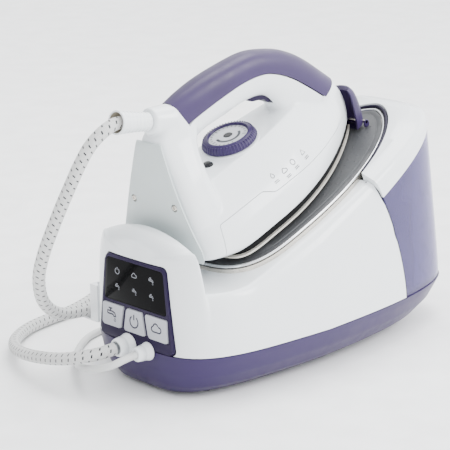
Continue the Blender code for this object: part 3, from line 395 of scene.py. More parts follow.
@dataclass(frozen=True)
class BraidFinish(Finish):
    """A woven hose cover: fine crossing threads, with rows of short dark marks along its length.

    It reads the piece's UV map, with metres along the hose in U and turns round it in V.
    """

    dash: Colour = (0.012, 0.012, 0.018)
    rows: int = 7
    pitch: float = 0.0074
    thread: float = 0.0011

    def write(self, nodes: NodeWriter, shader: Node) -> None:
        """Threads by two crossing waves, and marks by a grid in the UV map."""
        uv = nodes.node("ShaderNodeUVMap", uv_map="along").outputs[0]
        split = nodes.node("ShaderNodeSeparateXYZ", {0: uv}).outputs
        along, round_it = split[0], split[1]
        turns = nodes.math("MULTIPLY", round_it, float(self.rows))
        row = nodes.math("FLOOR", turns)
        shift = nodes.math("MULTIPLY", nodes.math("MODULO", row, 2.0), self.pitch / 2)
        lean = nodes.math("MULTIPLY", nodes.math("FRACT", turns), 0.0016)
        place = nodes.math("ADD", nodes.math("ADD", along, shift), lean)
        step = nodes.math("FRACT", nodes.math("DIVIDE", place, self.pitch))
        across = nodes.math("ABSOLUTE", nodes.math("SUBTRACT", nodes.math("FRACT", turns), 0.5))
        thin = nodes.ramp(step, 0.17, 0.2, 1.0, 0.0)
        short = nodes.ramp(across, 0.27, 0.31, 1.0, 0.0)
        mark = nodes.math("MULTIPLY", thin, short)
        one = nodes.math("SINE", nodes.math("ADD", nodes.math("MULTIPLY", along, math.tau / self.thread),
                                            nodes.math("MULTIPLY", round_it, math.tau * 16)))
        other = nodes.math("SINE", nodes.math("SUBTRACT", nodes.math("MULTIPLY", along,
                                                                     math.tau / self.thread),
                                              nodes.math("MULTIPLY", round_it, math.tau * 16)))
        weave = nodes.math("MULTIPLY", one, other)
        fuzz = nodes.noise(nodes.node("ShaderNodeTexCoord").outputs["Object"], 900.0, 2.0)
        darker = tuple(0.72 * value for value in self.colour)
        tone = nodes.math("ADD", nodes.math("MULTIPLY", weave, 0.35), nodes.ramp(fuzz, 0.3, 0.7, 0.35, 0.95))
        cloth = nodes.colours(tone, darker, self.colour)
        both = nodes.node("ShaderNodeMix", data_type="RGBA")
        nodes.tree.links.new(mark, both.inputs[0])
        nodes.tree.links.new(cloth, both.inputs[6])
        both.inputs[7].default_value = (*self.dash, 1.0)
        nodes.tree.links.new(both.outputs[2], shader.inputs["Base Color"])
        shader.inputs["Sheen Weight"].default_value = 0.25
        self.bump(nodes, shader, weave, 0.45, 0.0003)


WHITE = Finish("gloss white shell", "white_shell", (0.8, 0.83, 0.85), 0.16, coat=0.25, grain=0.006,
               uneven=0.03, shade=0.985)
PALE = Finish("satin pale grey", "pale_grey", (0.52, 0.575, 0.575), 0.42, grain=0.03)
PURPLE = Finish("satin deep purple", "deep_purple", (0.03, 0.018, 0.07), 0.36, grain=0.03, specular=0.25)
GRIP = Finish("satin grip purple", "grip_purple", (0.034, 0.02, 0.074), 0.36, grain=0.04, shade=0.85,
              specular=0.3)
TANK = ClearFinish("lavender clear plastic", "tank_lavender", (0.27, 0.235, 0.5), 0.12, grain=0.01,
                   alpha=0.8)
GLASS = Finish("black display glass", "black_plastic", (0.0015, 0.0015, 0.002), 0.1, grain=0.002,
               specular=0.06)
FRAME = Finish("satin dark purple frame", "deep_purple", (0.013, 0.007, 0.032), 0.36, grain=0.03,
               specular=0.15)
TRIM = Finish("dark purple rubber", "deep_purple", (0.008, 0.005, 0.02), 0.5, grain=0.05, specular=0.2)
SHIELD = Finish("matt black shield", "black_plastic", (0.003, 0.003, 0.004), 0.6, grain=0.05, specular=0.12)
SOLE = Finish("polished sole edge", "steel", (0.7, 0.665, 0.59), 0.32, metallic=0.35, grain=0.01)
# painted shade: a dark copy of the tank's lavender, laid inside the cup to darken the tank behind the rib
TANK_PAINTED_SHADE = Finish("lavender painted shade", "tank_lavender", (0.075, 0.062, 0.155), 0.3, grain=0.01)
BLACK = Finish("gloss black", "black_plastic", (0.004, 0.004, 0.006), 0.14, grain=0.004, specular=0.3)
KEY = Finish("key grey", "key_grey", (0.42, 0.43, 0.47), 0.38, grain=0.02)
MAT = Finish("heat mat grey", "mat_grey", (0.04, 0.042, 0.046), 0.5, grain=0.35, grain_scale=900.0)
STEEL = BrushedFinish("brushed steel", "steel", (0.66, 0.62, 0.56), 0.24, 1.0)
CHROME = Finish("bright rim", "bright_rim", (0.75, 0.76, 0.78), 0.1, 1.0, grain=0.004)
CAST = Finish("cast metal", "cast_metal", (0.5, 0.5, 0.51), 0.5, 1.0, grain=0.5, grain_scale=600.0)
BRASS = BrushedFinish("turned brass", "brass", (0.75, 0.56, 0.27), 0.3, 1.0)
RUBBER = Finish("matt rubber", "rubber", (0.02, 0.02, 0.024), 0.75, grain=0.2)
BOARD = Finish("lacquered board", "circuit_board", (0.02, 0.1, 0.045), 0.3, grain=0.1, grain_scale=300.0)
BRAID = BraidFinish("woven hose cover", "hose_braid", (0.66, 0.66, 0.65), 0.85)
LEAD = Finish("smooth white lead", "lead_white", (0.6, 0.605, 0.6), 0.36, grain=0.02)
SILVER = BrushedFinish("brushed silver disc", "bright_rim", (0.62, 0.63, 0.66), 0.34, 0.6,
                       stretch=(500.0, 500.0, 20.0))
INK = Finish("grey print", "deep_purple", (0.06, 0.065, 0.075), 0.6, grain=0.01)
PURPLE_INK = Finish("purple print", "deep_purple", (0.01, 0.007, 0.028), 0.5, grain=0.01)
GLOW = Finish("dim display sign", "key_grey", (0.2, 0.21, 0.24), 0.5, grain=0.01)
BEIGE = Finish("beige lining", "lead_white", (0.36, 0.32, 0.25), 0.55, grain=0.05)


# ---------------------------------------------------------------- meshes
def mirrored_cap(bm: Mesh, ring: Sequence[bmesh.types.BMVert]) -> None:
    """Closes a ring that is its own mirror image with strips from side to side."""
    for i in range((len(ring) - 1) // 2):
        j = len(ring) - 1 - i
        bm.faces.new(list(dict.fromkeys((ring[i], ring[i + 1], ring[j - 1], ring[j]))))


def loft(rings: Sequence[Sequence[Point]], endless: bool = False, fan: bool = False) -> Mesh:
    """A closed body through rings of equal length.

    Args:
        rings: the rings, each a closed list of points.
        endless: joins the last ring to the first, in place of closing the ends.
        fan: closes each end with one face, in place of strips from side to side.

    Returns:
        The body.
    """
    bm = bmesh.new()
    loops = [[bm.verts.new(point) for point in ring] for ring in rings]
    for low, high in list(zip(loops, loops[1:])) + ([(loops[-1], loops[0])] if endless else []):
        for i in range(len(low)):
            j = (i + 1) % len(low)
            bm.faces.new((low[i], low[j], high[j], high[i]))
    if not endless:
        for ring in (loops[0], loops[-1]):
            bm.faces.new(ring) if fan else mirrored_cap(bm, ring)
    return bm


def lathe(profile: Sequence[Flat], sides: int = 64) -> Mesh:
    """A turned body about Z.

    Args:
        profile: (radius, height) points, from the axis back to the axis or round a loop.
        sides: points round the axis.

    Returns:
        The body.
    """
    bm = bmesh.new()
    rings = []
    for radius, height in profile:
        if radius <= 0:
            rings.append([bm.verts.new((0, 0, height))])
        else:
            angles = (math.tau * k / sides for k in range(sides))
            rings.append([bm.verts.new((radius * math.cos(a), radius * math.sin(a), height)) for a in angles])
    pairs = list(zip(rings, rings[1:]))
    if profile[0][0] > 0:
        pairs.append((rings[-1], rings[0]))
    for low, high in pairs:
        for i in range(sides):
            j = (i + 1) % sides
            corners = [low[i % len(low)], low[j % len(low)], high[j % len(high)], high[i % len(high)]]
            corners = list(dict.fromkeys(corners))
            if len(corners) > 2:
                bm.faces.new(corners)
    return bm


def prism(outline: Sequence[Flat], low: float, high: float, bevel: float = 0.0,
          segments: int = 3) -> Mesh:
    """A plate with its upper and lower edges rounded.

    Args:
        outline: its (x, y) points.
        low: its lower height.
        high: its upper height.
        bevel: the rounding's width.
        segments: steps on the rounding.

    Returns:
        The plate.
    """
    bm = loft([[(x, y, z) for x, y in outline] for z in (low, high)], fan=True)
    if bevel:
        rims = [e for e in bm.edges if abs(e.verts[0].co.z - e.verts[1].co.z) < 1e-7]
        bmesh.ops.bevel(bm, geom=rims, offset=bevel, segments=segments, profile=0.5, affect="EDGES")
    return bm


def tube(points: Sequence[Vector], radius: Callable[[float], float] | float, sides: int = 20) -> Mesh:
    """A round tube along points, with a UV map of metres along it and turns round it.

    Args:
        points: the centre line.
        radius: the radius, or the radius at a distance along.
        sides: points round the tube.

    Returns:
        The tube, closed at both ends.
    """
    bm = bmesh.new()
    uv = bm.loops.layers.uv.new("along")
    side = (points[1] - points[0]).orthogonal().normalized()
    rings, distances, walked = [], [], 0.0
    for i, point in enumerate(points):
        ahead = (points[min(i + 1, len(points) - 1)] - points[max(i - 1, 0)]).normalized()
        side = (side - ahead * side.dot(ahead)).normalized()
        other = ahead.cross(side)
        walked += (point - points[i - 1]).length if i else 0.0
        size = radius(walked) if callable(radius) else radius
        angles = [math.tau * k / sides for k in range(sides)]
        rings.append([bm.verts.new(point + (side * math.cos(a) + other * math.sin(a)) * size)
                      for a in angles])
        distances.append(walked)
    for n, (low, high) in enumerate(zip(rings, rings[1:])):
        for i in range(sides):
            j = (i + 1) % sides
            face = bm.faces.new((low[i], low[j], high[j], high[i]))
            corners = ((n, i), (n, i + 1), (n + 1, i + 1), (n + 1, i))
            for loop, (row, turn) in zip(face.loops, corners):
                loop[uv].uv = (distances[row], turn / sides)
    bm.faces.new(rings[0][::-1])
    bm.faces.new(rings[-1])
    return bm


def linked(obj: Object) -> Object:
    """The object, put in the scene."""
    bpy.context.scene.collection.objects.link(obj)
    return obj


def piece(name: str, bm: Mesh, finish: Finish | None, place: Matrix | None = None,
          sharp: float = 36.0) -> Object:
    """An object from a body, put in place, with its doubles merged and its faces outward.

    Args:
        name: the object's name.
        bm: the body, which is used up.
        finish: its finish, or None for a helper.
        place: where it goes.
        sharp: edges above this many degrees stay sharp.

    Returns:
        The object.
    """
    if place:
        bm.transform(place)
    bmesh.ops.remove_doubles(bm, verts=bm.verts, dist=1e-6)
    bmesh.ops.recalc_face_normals(bm, faces=bm.faces)
    mesh = bpy.data.meshes.new(name)
    bm.to_mesh(mesh)
    bm.free()
    mesh.shade_smooth()
    mesh.set_sharp_from_angle(angle=math.radians(sharp))
    if finish:
        mesh.materials.append(finish.material())
    obj = bpy.data.objects.new(name, mesh)
    linked(obj)
    return obj


def settle(obj: Object, body: Body, finish: Finish, *nodes: str) -> Object:
    """Hands a finished piece to the frame.

    Args:
        obj: the piece.
        body: what it rides on.
        finish: its finish, not used.
        nodes: the CAD nodes it stands for.

    Returns:
        The piece.
    """
    if nodes:
        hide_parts(*nodes)
    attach(obj, body.value)
    LOG.info("%s on %s, %d faces", obj.name, body.value, len(obj.data.polygons))
    return obj


def add(name: str, bm: Mesh, finish: Finish, body: Body, *nodes: str, place: Matrix | None = None,
        sharp: float = 36.0) -> Object:
    """Makes a piece and hands it to the frame, as piece() and settle() do."""
    return settle(piece(name, bm, finish, place, sharp), body, finish, *nodes)


def baked(obj: Object, sharp: float = 36.0) -> Object:
    """Works an object's modifiers into its mesh.

    Args:
        obj: the object.
        sharp: edges above this many degrees stay sharp.

    Returns:
        The same object.
    """
    bpy.context.view_layer.update()
    graph = bpy.context.evaluated_depsgraph_get()
    mesh = bpy.data.meshes.new_from_object(obj.evaluated_get(graph), preserve_all_data_layers=True,
                                           depsgraph=graph)
    obj.modifiers.clear()
    obj.data = mesh
    mesh.shade_smooth()
    mesh.set_sharp_from_angle(angle=math.radians(sharp))
    return obj


def carved(obj: Object, *cutters: Object, operation: str = "DIFFERENCE") -> Object:
    """Works a Boolean with each cutter into an object.

    Args:
        obj: the object.
        cutters: closed bodies, which are removed afterwards.
        operation: the Boolean's kind.

    Returns:
        The same object.
    """
    for cutter in cutters:
        modifier = obj.modifiers.new(cutter.name, "BOOLEAN")
        modifier.operation, modifier.object, modifier.solver = operation, cutter, "EXACT"
    baked(obj)
    for cutter in cutters:
        bpy.data.objects.remove(cutter, do_unlink=True)
    return obj


class Scatter:
    """A Geometry Nodes tree that sets one item on every point of a mesh, turned and sized by its values."""

    def __init__(self) -> None:
        """Builds the tree."""
        tree = bpy.data.node_groups.new("scatter", "GeometryNodeTree")
        for name, kind in (("Points", "Geometry"), ("Item", "Object"), ("Finish", "Material")):
            tree.interface.new_socket(name, in_out="INPUT", socket_type="NodeSocket" + kind)
        tree.interface.new_socket("Result", in_out="OUTPUT", socket_type="NodeSocketGeometry")
        nodes = NodeWriter(tree)
        given = nodes.node("NodeGroupInput").outputs
        item = nodes.node("GeometryNodeObjectInfo", {"Object": given["Item"]})
        turn = nodes.node("GeometryNodeInputNamedAttribute", {"Name": "turn"}, data_type="FLOAT_VECTOR")
        size = nodes.node("GeometryNodeInputNamedAttribute", {"Name": "size"}, data_type="FLOAT_VECTOR")
        copies = nodes.node("GeometryNodeInstanceOnPoints", {"Points": given["Points"],
                                                             "Instance": item.outputs["Geometry"],
                                                             "Rotation": turn.outputs["Attribute"],
                                                             "Scale": size.outputs["Attribute"]})
        real = nodes.node("GeometryNodeRealizeInstances", {0: copies.outputs[0]})
        painted = nodes.node("GeometryNodeSetMaterial", {"Geometry": real.outputs[0],
                                                         "Material": given["Finish"]})
        nodes.node("NodeGroupOutput", {0: painted.outputs[0]})
        self.tree = tree

    def spread(self, name: str, item: Mesh, places: Iterable[tuple[Point, Point, Point]],
               finish: Finish, place: Matrix | None = None) -> Object:
        """One mesh of copies of an item.

        Args:
            name: the object's name.
            item: the item's body, about its own origin.
            places: for each copy, its place, its turn in radians and its size.
            finish: the finish.
            place: where the whole goes.

        Returns:
            The object, as a plain mesh.
        """
        single = piece(name + "_item", item, None)
        rows = list(places)
        mesh = bpy.data.meshes.new(name)
        mesh.from_pydata([row[0] for row in rows], [], [])
        for number, title in ((1, "turn"), (2, "size")):
            values = mesh.attributes.new(title, "FLOAT_VECTOR", "POINT")
            values.data.foreach_set("vector", [value for row in rows for value in row[number]])
        obj = bpy.data.objects.new(name, mesh)
        linked(obj)
        modifier = obj.modifiers.new("scatter", "NODES")
        modifier.node_group = self.tree
        for socket in self.tree.interface.items_tree:
            if socket.name == "Item":
                modifier[socket.identifier] = single
            elif socket.name == "Finish":
                modifier[socket.identifier] = finish.material()
        baked(obj)
        bpy.data.objects.remove(single, do_unlink=True)
        if place:
            obj.data.transform(place)
        return obj


# ---------------------------------------------------------------- the base's shape
@dataclass(frozen=True)
class BaseShape:
    """The base station's driving sizes, and the outlines worked out from them."""

    front: float = -0.196
    rear: float = 0.196
    half_width: float = 0.098
    middle: float = -0.038
    front_power: float = 4.2
    rear_power: float = 3.1
    front_taper: float = 0.1
    rear_taper: float = 0.12
    seam_z: float = 0.044
    pitch: float = math.radians(22.0)
    rest_x: float = -0.0933
    rest_z: float = 0.123
    iron_lift: float = 0.0038

    @property
    def iron_frame(self) -> Matrix:
        """The parked iron's frame: its sole at z = 0 and its nose towards +x."""
        spot = (self.rest_x, 0, self.rest_z + self.iron_lift)
        return shifted(spot) @ Matrix.Rotation(-self.pitch, 4, "Y")

    def outline(self, inset: Sequence[float] = (0, 0, 0), steps: int = 200) -> list[Flat]:
        """The base's plan.

        Args:
            inset: how far it is drawn in at the panel end, at the tank end and at the sides.
            steps: points round it.

        Returns:
            Its points.
        """
        points = []
        for i in range(steps):
            angle = math.tau * (i + 0.5) / steps
            c, s = math.cos(angle), math.sin(angle)
            exponent = 2 / (self.rear_power if c > 0 else self.front_power)
            reach = self.rear - inset[1] - self.middle if c > 0 else self.middle - self.front - inset[0]
            along = signed_power(c, exponent)
            taper = 1 - (self.rear_taper if c > 0 else self.front_taper) * abs(along)
            half = (self.half_width - inset[2]) * taper
            points.append((self.middle + reach * along, half * signed_power(s, exponent)))
        return points

    def width_at(self, x: float, inset_rear: float = 0.0, inset_side: float = 0.0) -> float:
        """Half width of the base at its widest level.

        Args:
            x: where.
            inset_rear: how far the tank end is drawn in.
            inset_side: how far the sides are.

        Returns:
            The half width.
        """
        behind = x > self.middle
        reach = self.rear - inset_rear - self.middle if behind else self.middle - self.front
        share = min(abs(x - self.middle) / reach, 1.0)
        n = self.rear_power if behind else self.front_power
        taper = 1 - (self.rear_taper if behind else self.front_taper) * share
        return (self.half_width - inset_side) * taper * (1 - share**n) ** (1 / n)

    def rest_height(self, x: float) -> float:
        """Height of the rest surface at a given X."""
        return self.rest_z + (x - self.rest_x) * math.tan(self.pitch)

    def rest_outline(self, offset: float = 0.0, steps: int = 160) -> list[Flat]:
        """The rest's plan: a rounded tail and a pointed nose.

        Args:
            offset: how far it is moved outwards.
            steps: points round it.

        Returns:
            Its points.
        """
        middle, tail, nose, half = -0.05, -0.122, 0.133, 0.072
        points = []
        for i in range(steps):
            angle = math.tau * (i + 0.5) / steps
            c, s = math.cos(angle), math.sin(angle)
            if c < 0:
                points.append((middle + (middle - tail + offset) * signed_power(c, 0.62),
                               (half + offset) * signed_power(s, 0.62)))
            else:
                share = c**0.8
                points.append((middle + (nose - middle + offset) * share,
                               math.copysign((half + offset) * (1 - share**2.2) ** 0.62, s)))
        return points

    def bay_edge(self, z: float) -> float:
        """X of the casing's edge beside the tank, at a given height."""
        low_x, high_x, high_z = 0.086, 0.046, 0.158
        if z > high_z:
            return high_x - 0.52 * (z - high_z)
        return mix(low_x, high_x, max(0.0, (z - self.seam_z) / (high_z - self.seam_z)) ** 1.35)

    def rear_outline(self, x_front: float, inset_rear: float, inset_side: float,
                     count: int = 48) -> list[Flat]:
        """The tank end's plan.

        Args:
            x_front: where it starts.
            inset_rear: how far the end is drawn in.
            inset_side: how far the sides are.
            count: points on each side.

        Returns:
            Its points, mirrored about the middle.
        """
        x_end = self.rear - inset_rear
        right = []
        for k in range(count):
            x = mix(x_front, x_end, math.sin(math.pi / 2 * k / (count - 1)))
            right.append((x, -self.width_at(x, inset_rear, inset_side) if k < count - 1 else 0.0))
        return right + [(x, -y) for x, y in reversed(right[:-1])]


SHAPE = BaseShape()


@dataclass(frozen=True)
class BaseShell:
    """The tray and the white casing over it."""

    wall: float = 0.0025
    hump_back: float = -0.1735
    hump_top: float = 0.155
    saddle: float = 0.1018
    tray_rings: Table = (  # height, and insets at the panel end, the tank end and the sides
        (0.0, 0.012, 0.062, 0.032), (0.0015, 0.009, 0.051, 0.026), (0.009, 0.005, 0.033, 0.014),
        (0.022, 0.002, 0.014, 0.005), (0.034, 0.0005, 0.0045, 0.0012), (0.0397, 0.0, 0.0, 0.0),
    )
    floor: float = 0.0033
    panel_cut: Flat = (0.1885, 0.23)

    def build(self) -> None:
        """Makes the pieces."""
        self.tray()
        self.casing()

    def tray(self) -> None:
        """The deep purple tray: a smooth bowl with a small step under the seam."""
        rings = []
        for k in range(29):
            z, *inset = self.ring_at(k / 28)
            rings.append([(x, y, self.floor + z) for x, y in SHAPE.outline(inset)])
        lip = [(0.0009, 0.0), (0.0016, 0.0004), (0.0025, 0.0004)]
        for inset, rise in lip:
            rings.append([(x, y, SHAPE.seam_z - 0.0008 + rise) for x, y in SHAPE.outline((inset,) * 3)])
        for k in range(28, 4, -1):
            z, *inset = self.ring_at(k / 28)
            inner = [value + self.wall for value in inset]
            rings.append([(x, y, max(self.floor + z - 0.0006, 0.006)) for x, y in SHAPE.outline(inner)])
        add("tray", loft(rings), PURPLE, Body.BASE, "base_tray")

    def ring_at(self, t: float) -> tuple[float, ...]:
        """One ring of the tray, from its table.

        Args:
            t: a share of the way up.

        Returns:
            The height and the three insets.
        """
        heights = [row[0] for row in self.tray_rings]
        z = heights[-1] * t**1.4
        for low, high in zip(self.tray_rings, self.tray_rings[1:]):
            if z <= high[0] + 1e-9:
                share = (z - low[0]) / (high[0] - low[0])
                return (z, *(mix(a, b, share) for a, b in zip(low[1:], high[1:])))
        return self.tray_rings[-1]

    def top_at(self, x: float) -> tuple[float, float, float]:
        """The casing's upper side.

        Args:
            x: where.

        Returns:
            The shoulder's half width and height, and the centre's height.
        """
        width = SHAPE.width_at(x)
        crown, corner, rounding = 0.014, 0.012, 0.01
        fall = max(0.0, (x - self.hump_back + 0.004) / (SHAPE.front - self.hump_back + 0.004)) ** 4
        hump = self.hump_top - rounding * fall
        behind = SHAPE.rest_height(x) - 0.0071
        level = self.saddle + 0.5 * ((behind - self.saddle) + math.hypot(behind - self.saddle, 0.004))
        shoulder = 0.076 - 0.05 * max(0.0, x)
        along = ease((x - self.hump_back) / 0.05)
        drop = ease((x - self.hump_back + 0.005) / 0.008)
        return (mix(width - corner, shoulder, along), mix(hump - crown, level, drop), mix(hump, level, drop))

    def ring(self, x: float, count: int = 26) -> list[Point]:
        """One open section of the casing.

        Args:
            x: where.
            count: points on each flank.

        Returns:
            Its points, from seam to seam over the top.
        """
        width = SHAPE.width_at(x)
        shoulder, shoulder_z, centre_z = self.top_at(x)
        half = []
        for i in range(count):
            angle = math.pi / 2 * i / (count - 1)
            half.append((x, mix(shoulder, width, math.cos(angle) ** 0.8),
                         mix(SHAPE.seam_z, shoulder_z, math.sin(angle) ** 0.8)))
        for k in range(1, 12):
            share = 1 - k / 12
            half.append((x, shoulder * share, mix(centre_z, shoulder_z, share**2)))
        return half + [(x, 0.0, centre_z)] + [(x, -y, z) for x, y, z in reversed(half)]

    def casing(self) -> None:
        """The white casing: sections along X with a wall, cut for the panel and along the tank's bay."""
        stations = [mix(SHAPE.front + 1e-5, -0.183, (k / 18) ** 2.4) for k in range(19)]
        stations += [mix(-0.183, -0.163, k / 24) for k in range(1, 25)]
        stations += [mix(-0.163, 0.092, k / 70) for k in range(1, 71)]
        bm = bmesh.new()
        rows = [[bm.verts.new(point) for point in self.ring(x)] for x in stations]
        for low, high in zip(rows, rows[1:]):
            for i in range(len(low) - 1):
                bm.faces.new((low[i], low[i + 1], high[i + 1], high[i]))
        mirrored_cap(bm, rows[0])
        casing = piece("casing", bm, WHITE)
        wall = casing.modifiers.new("wall", "SOLIDIFY")
        wall.thickness, wall.offset = self.wall, -1
        baked(casing)
        heights = [0.034, *(mix(SHAPE.seam_z, 0.17, k / 30) for k in range(31)), 0.2]
        profile = [(SHAPE.bay_edge(max(z, SHAPE.seam_z)), z) for z in heights] + [(0.3, 0.2),
                                                                                  (0.3, 0.034)]
        sides = [[(x, y, z) for x, z in profile] for y in (-0.2, 0.2)]
        bay = piece("bay_cutter", loft(sides, fan=True), None)
        outline = ControlPanel.outline(0.0009)
        hole = piece("panel_cutter", prism(outline, *self.panel_cut), None, ControlPanel.facing())
        carved(casing, bay, hole)
        settle(casing, Body.BASE, WHITE, "upper_casing")


@dataclass(frozen=True)
class ControlPanel:
    """The purple frame in the base's end: a black display, three keys with signs, and two sockets."""

    front: float = -0.1966
    depth: float = 0.0155
    display_z: Flat = (0.0825, 0.121)
    key_z: Flat = (0.056, 0.078)
    key_edge: float = 0.0468
    splits: Flat = (0.0146, 0.0104)
    gap: float = 0.0046
    socket_x: float = -0.1969
    socket_z: float = 0.0425
    socket_reach: float = 0.0155

    @staticmethod
    def facing() -> Matrix:
        """A frame whose x is -Y, whose y is +Z and whose z is -X: plates drawn in it face the panel's way."""
        return Matrix(((0, 0, -1, 0), (-1, 0, 0, 0), (0, 1, 0, 0), (0, 0, 0, 1)))

    @staticmethod
    def outline(margin: float = 0.0) -> list[Flat]:
        """The frame's rounded trapezoid.

        Args:
            margin: how far it is moved outwards.

        Returns:
            Its points, as (across, up).
        """
        top, top_half, bottom, bottom_half = 0.126, 0.0405, 0.0446, 0.0505
        corners = [(-bottom_half - margin, bottom - margin), (bottom_half + margin, bottom - margin),
                   (top_half + margin, top + margin), (-top_half - margin, top + margin)]
        return rounded(corners, 0.0065)

    def build(self) -> None:
        """Makes the pieces."""
        self.frame()
        self.display()
        self.keys()
        self.sockets()

    def key_outlines(self) -> dict[Body, list[Flat]]:
        """Each key's trapezoid, as (across, up), counter-clockwise. Across is towards -Y."""
        (low, high), (foot, head), edge, gap = self.key_z, self.splits, self.key_edge, self.gap
        return {Body.TAP_KEY: [(-edge + 0.002, low), (-foot - gap, low), (-head - gap, high),
                               (-edge + 0.003, high)], Body.POWER_KEY: [(-foot, low), (foot, low),
                                                                        (head, high), (-head, high)],
                Body.LEVEL_KEY: [(foot + gap, low), (edge - 0.002, low), (edge - 0.003, high),
                                 (head + gap, high)]}

    def frame(self) -> None:
        """The frame: a rounded plate with a shallow recess for the display and a well for each key."""
        plate = piece("frame", prism(self.outline(), -self.front - self.depth, -self.front, 0.0012), FRAME,
                      self.facing())
        low, high = self.display_z
        recess = rounded([(-0.0431, low - 0.0013), (0.0431, low - 0.0013), (0.0388, high + 0.0018),
                          (-0.0388, high + 0.0018)], 0.004)
        cutters = [piece("recess", prism(recess, -self.front - 0.0024, -self.front + 0.01), None,
                         self.facing())]
        for body, outline in self.key_outlines().items():
            well = rounded(inset_polygon(outline, -0.0006), 0.0022)
            cutters.append(piece(body.value + "_well", prism(well, -self.front - 0.0062, -self.front + 0.01),
                                 None, self.facing()))
        settle(carved(plate, *cutters), Body.BASE, FRAME, "panel_frame")

    def display(self) -> None:
        """The black window and its six dim signs."""
        low, high = self.display_z
        glass = rounded([(-0.0428, low - 0.001), (0.0428, low - 0.001), (0.0385, high + 0.0015),
                         (-0.0385, high + 0.0015)], 0.004)
        add("display", prism(glass, -self.front - 0.0022, -self.front + 0.0001, 0.0005), GLASS, Body.BASE,
            "display_window", place=self.facing())
        signs = bmesh.new()
        level = -self.front + 0.00012
        for draw, across in ((Sign.power, -0.0235), (Sign.cloud, 0.0), (Sign.tap, 0.0235)):
            Sign.tap(signs, (across, 0.0955), 0.0032, level)
            draw(signs, (across, 0.111), 0.0036, level)
        add("display_signs", signs, GLOW, Body.BASE, place=self.facing())

    def keys(self) -> None:
        """Three pillowed keys, each with its sign, and its stem behind."""
        nodes = {Body.TAP_KEY: "key_tap", Body.POWER_KEY: "key_power", Body.LEVEL_KEY: "key_steam_level"}
        drawn = {Body.TAP_KEY: Sign.tap, Body.POWER_KEY: Sign.power, Body.LEVEL_KEY: Sign.cloud}
        for body, outline in self.key_outlines().items():
            top = -self.front + 0.0016
            cap = piece(nodes[body] + "_cap", prism(rounded(outline, 0.0022), -self.front - 0.003, top,
                                                    0.0009), KEY, self.facing())
            middle = (sum(p[0] for p in outline) / 4, sum(p[1] for p in outline) / 4)
            stem = lathe([(0, -self.front - 0.0105), (0.0035, -self.front - 0.0105),
                          (0.0035, -self.front - 0.002), (0, -self.front - 0.002)], 24)
            stem.transform(shifted((*middle, 0)))
            carved(cap, piece("stem", stem, None, self.facing()), operation="UNION")
            settle(cap, body, KEY, nodes[body])
            sign = bmesh.new()
            drawn[body](sign, middle, 0.007, top + 0.00002)
            add(nodes[body] + "_sign", sign, PURPLE_INK, body, place=self.facing())

    def sockets(self) -> None:
        """The hose's collar and the lead's smaller collar, both pointing straight out along -X."""
        reach = self.socket_reach
        for name, y, radius, bore in (("hose_socket", 0.01, 0.01, 0.0062),
                                      ("lead_socket", -0.017, 0.0078, 0.0037)):
            profile = [(radius + 0.001, 0.0), (radius + 0.0008, 0.0016), (radius, 0.0026),
                       (radius * 0.97, 0.006), (radius * 0.93, 0.0066), (radius * 0.93, 0.0076),
                       (radius * 0.96, 0.0082), (radius * 0.9, 0.0125), (radius * 0.84, 0.0145),
                       (radius * 0.72, reach), (bore, reach - 0.0002), (bore, 0.0)]
            place = shifted((self.socket_x, y, self.socket_z)) @ Matrix.Rotation(-math.pi / 2, 4,
                                                                                            "Y")
            add(name + "_collar", lathe(profile), WHITE, Body.BASE, name, place=place)


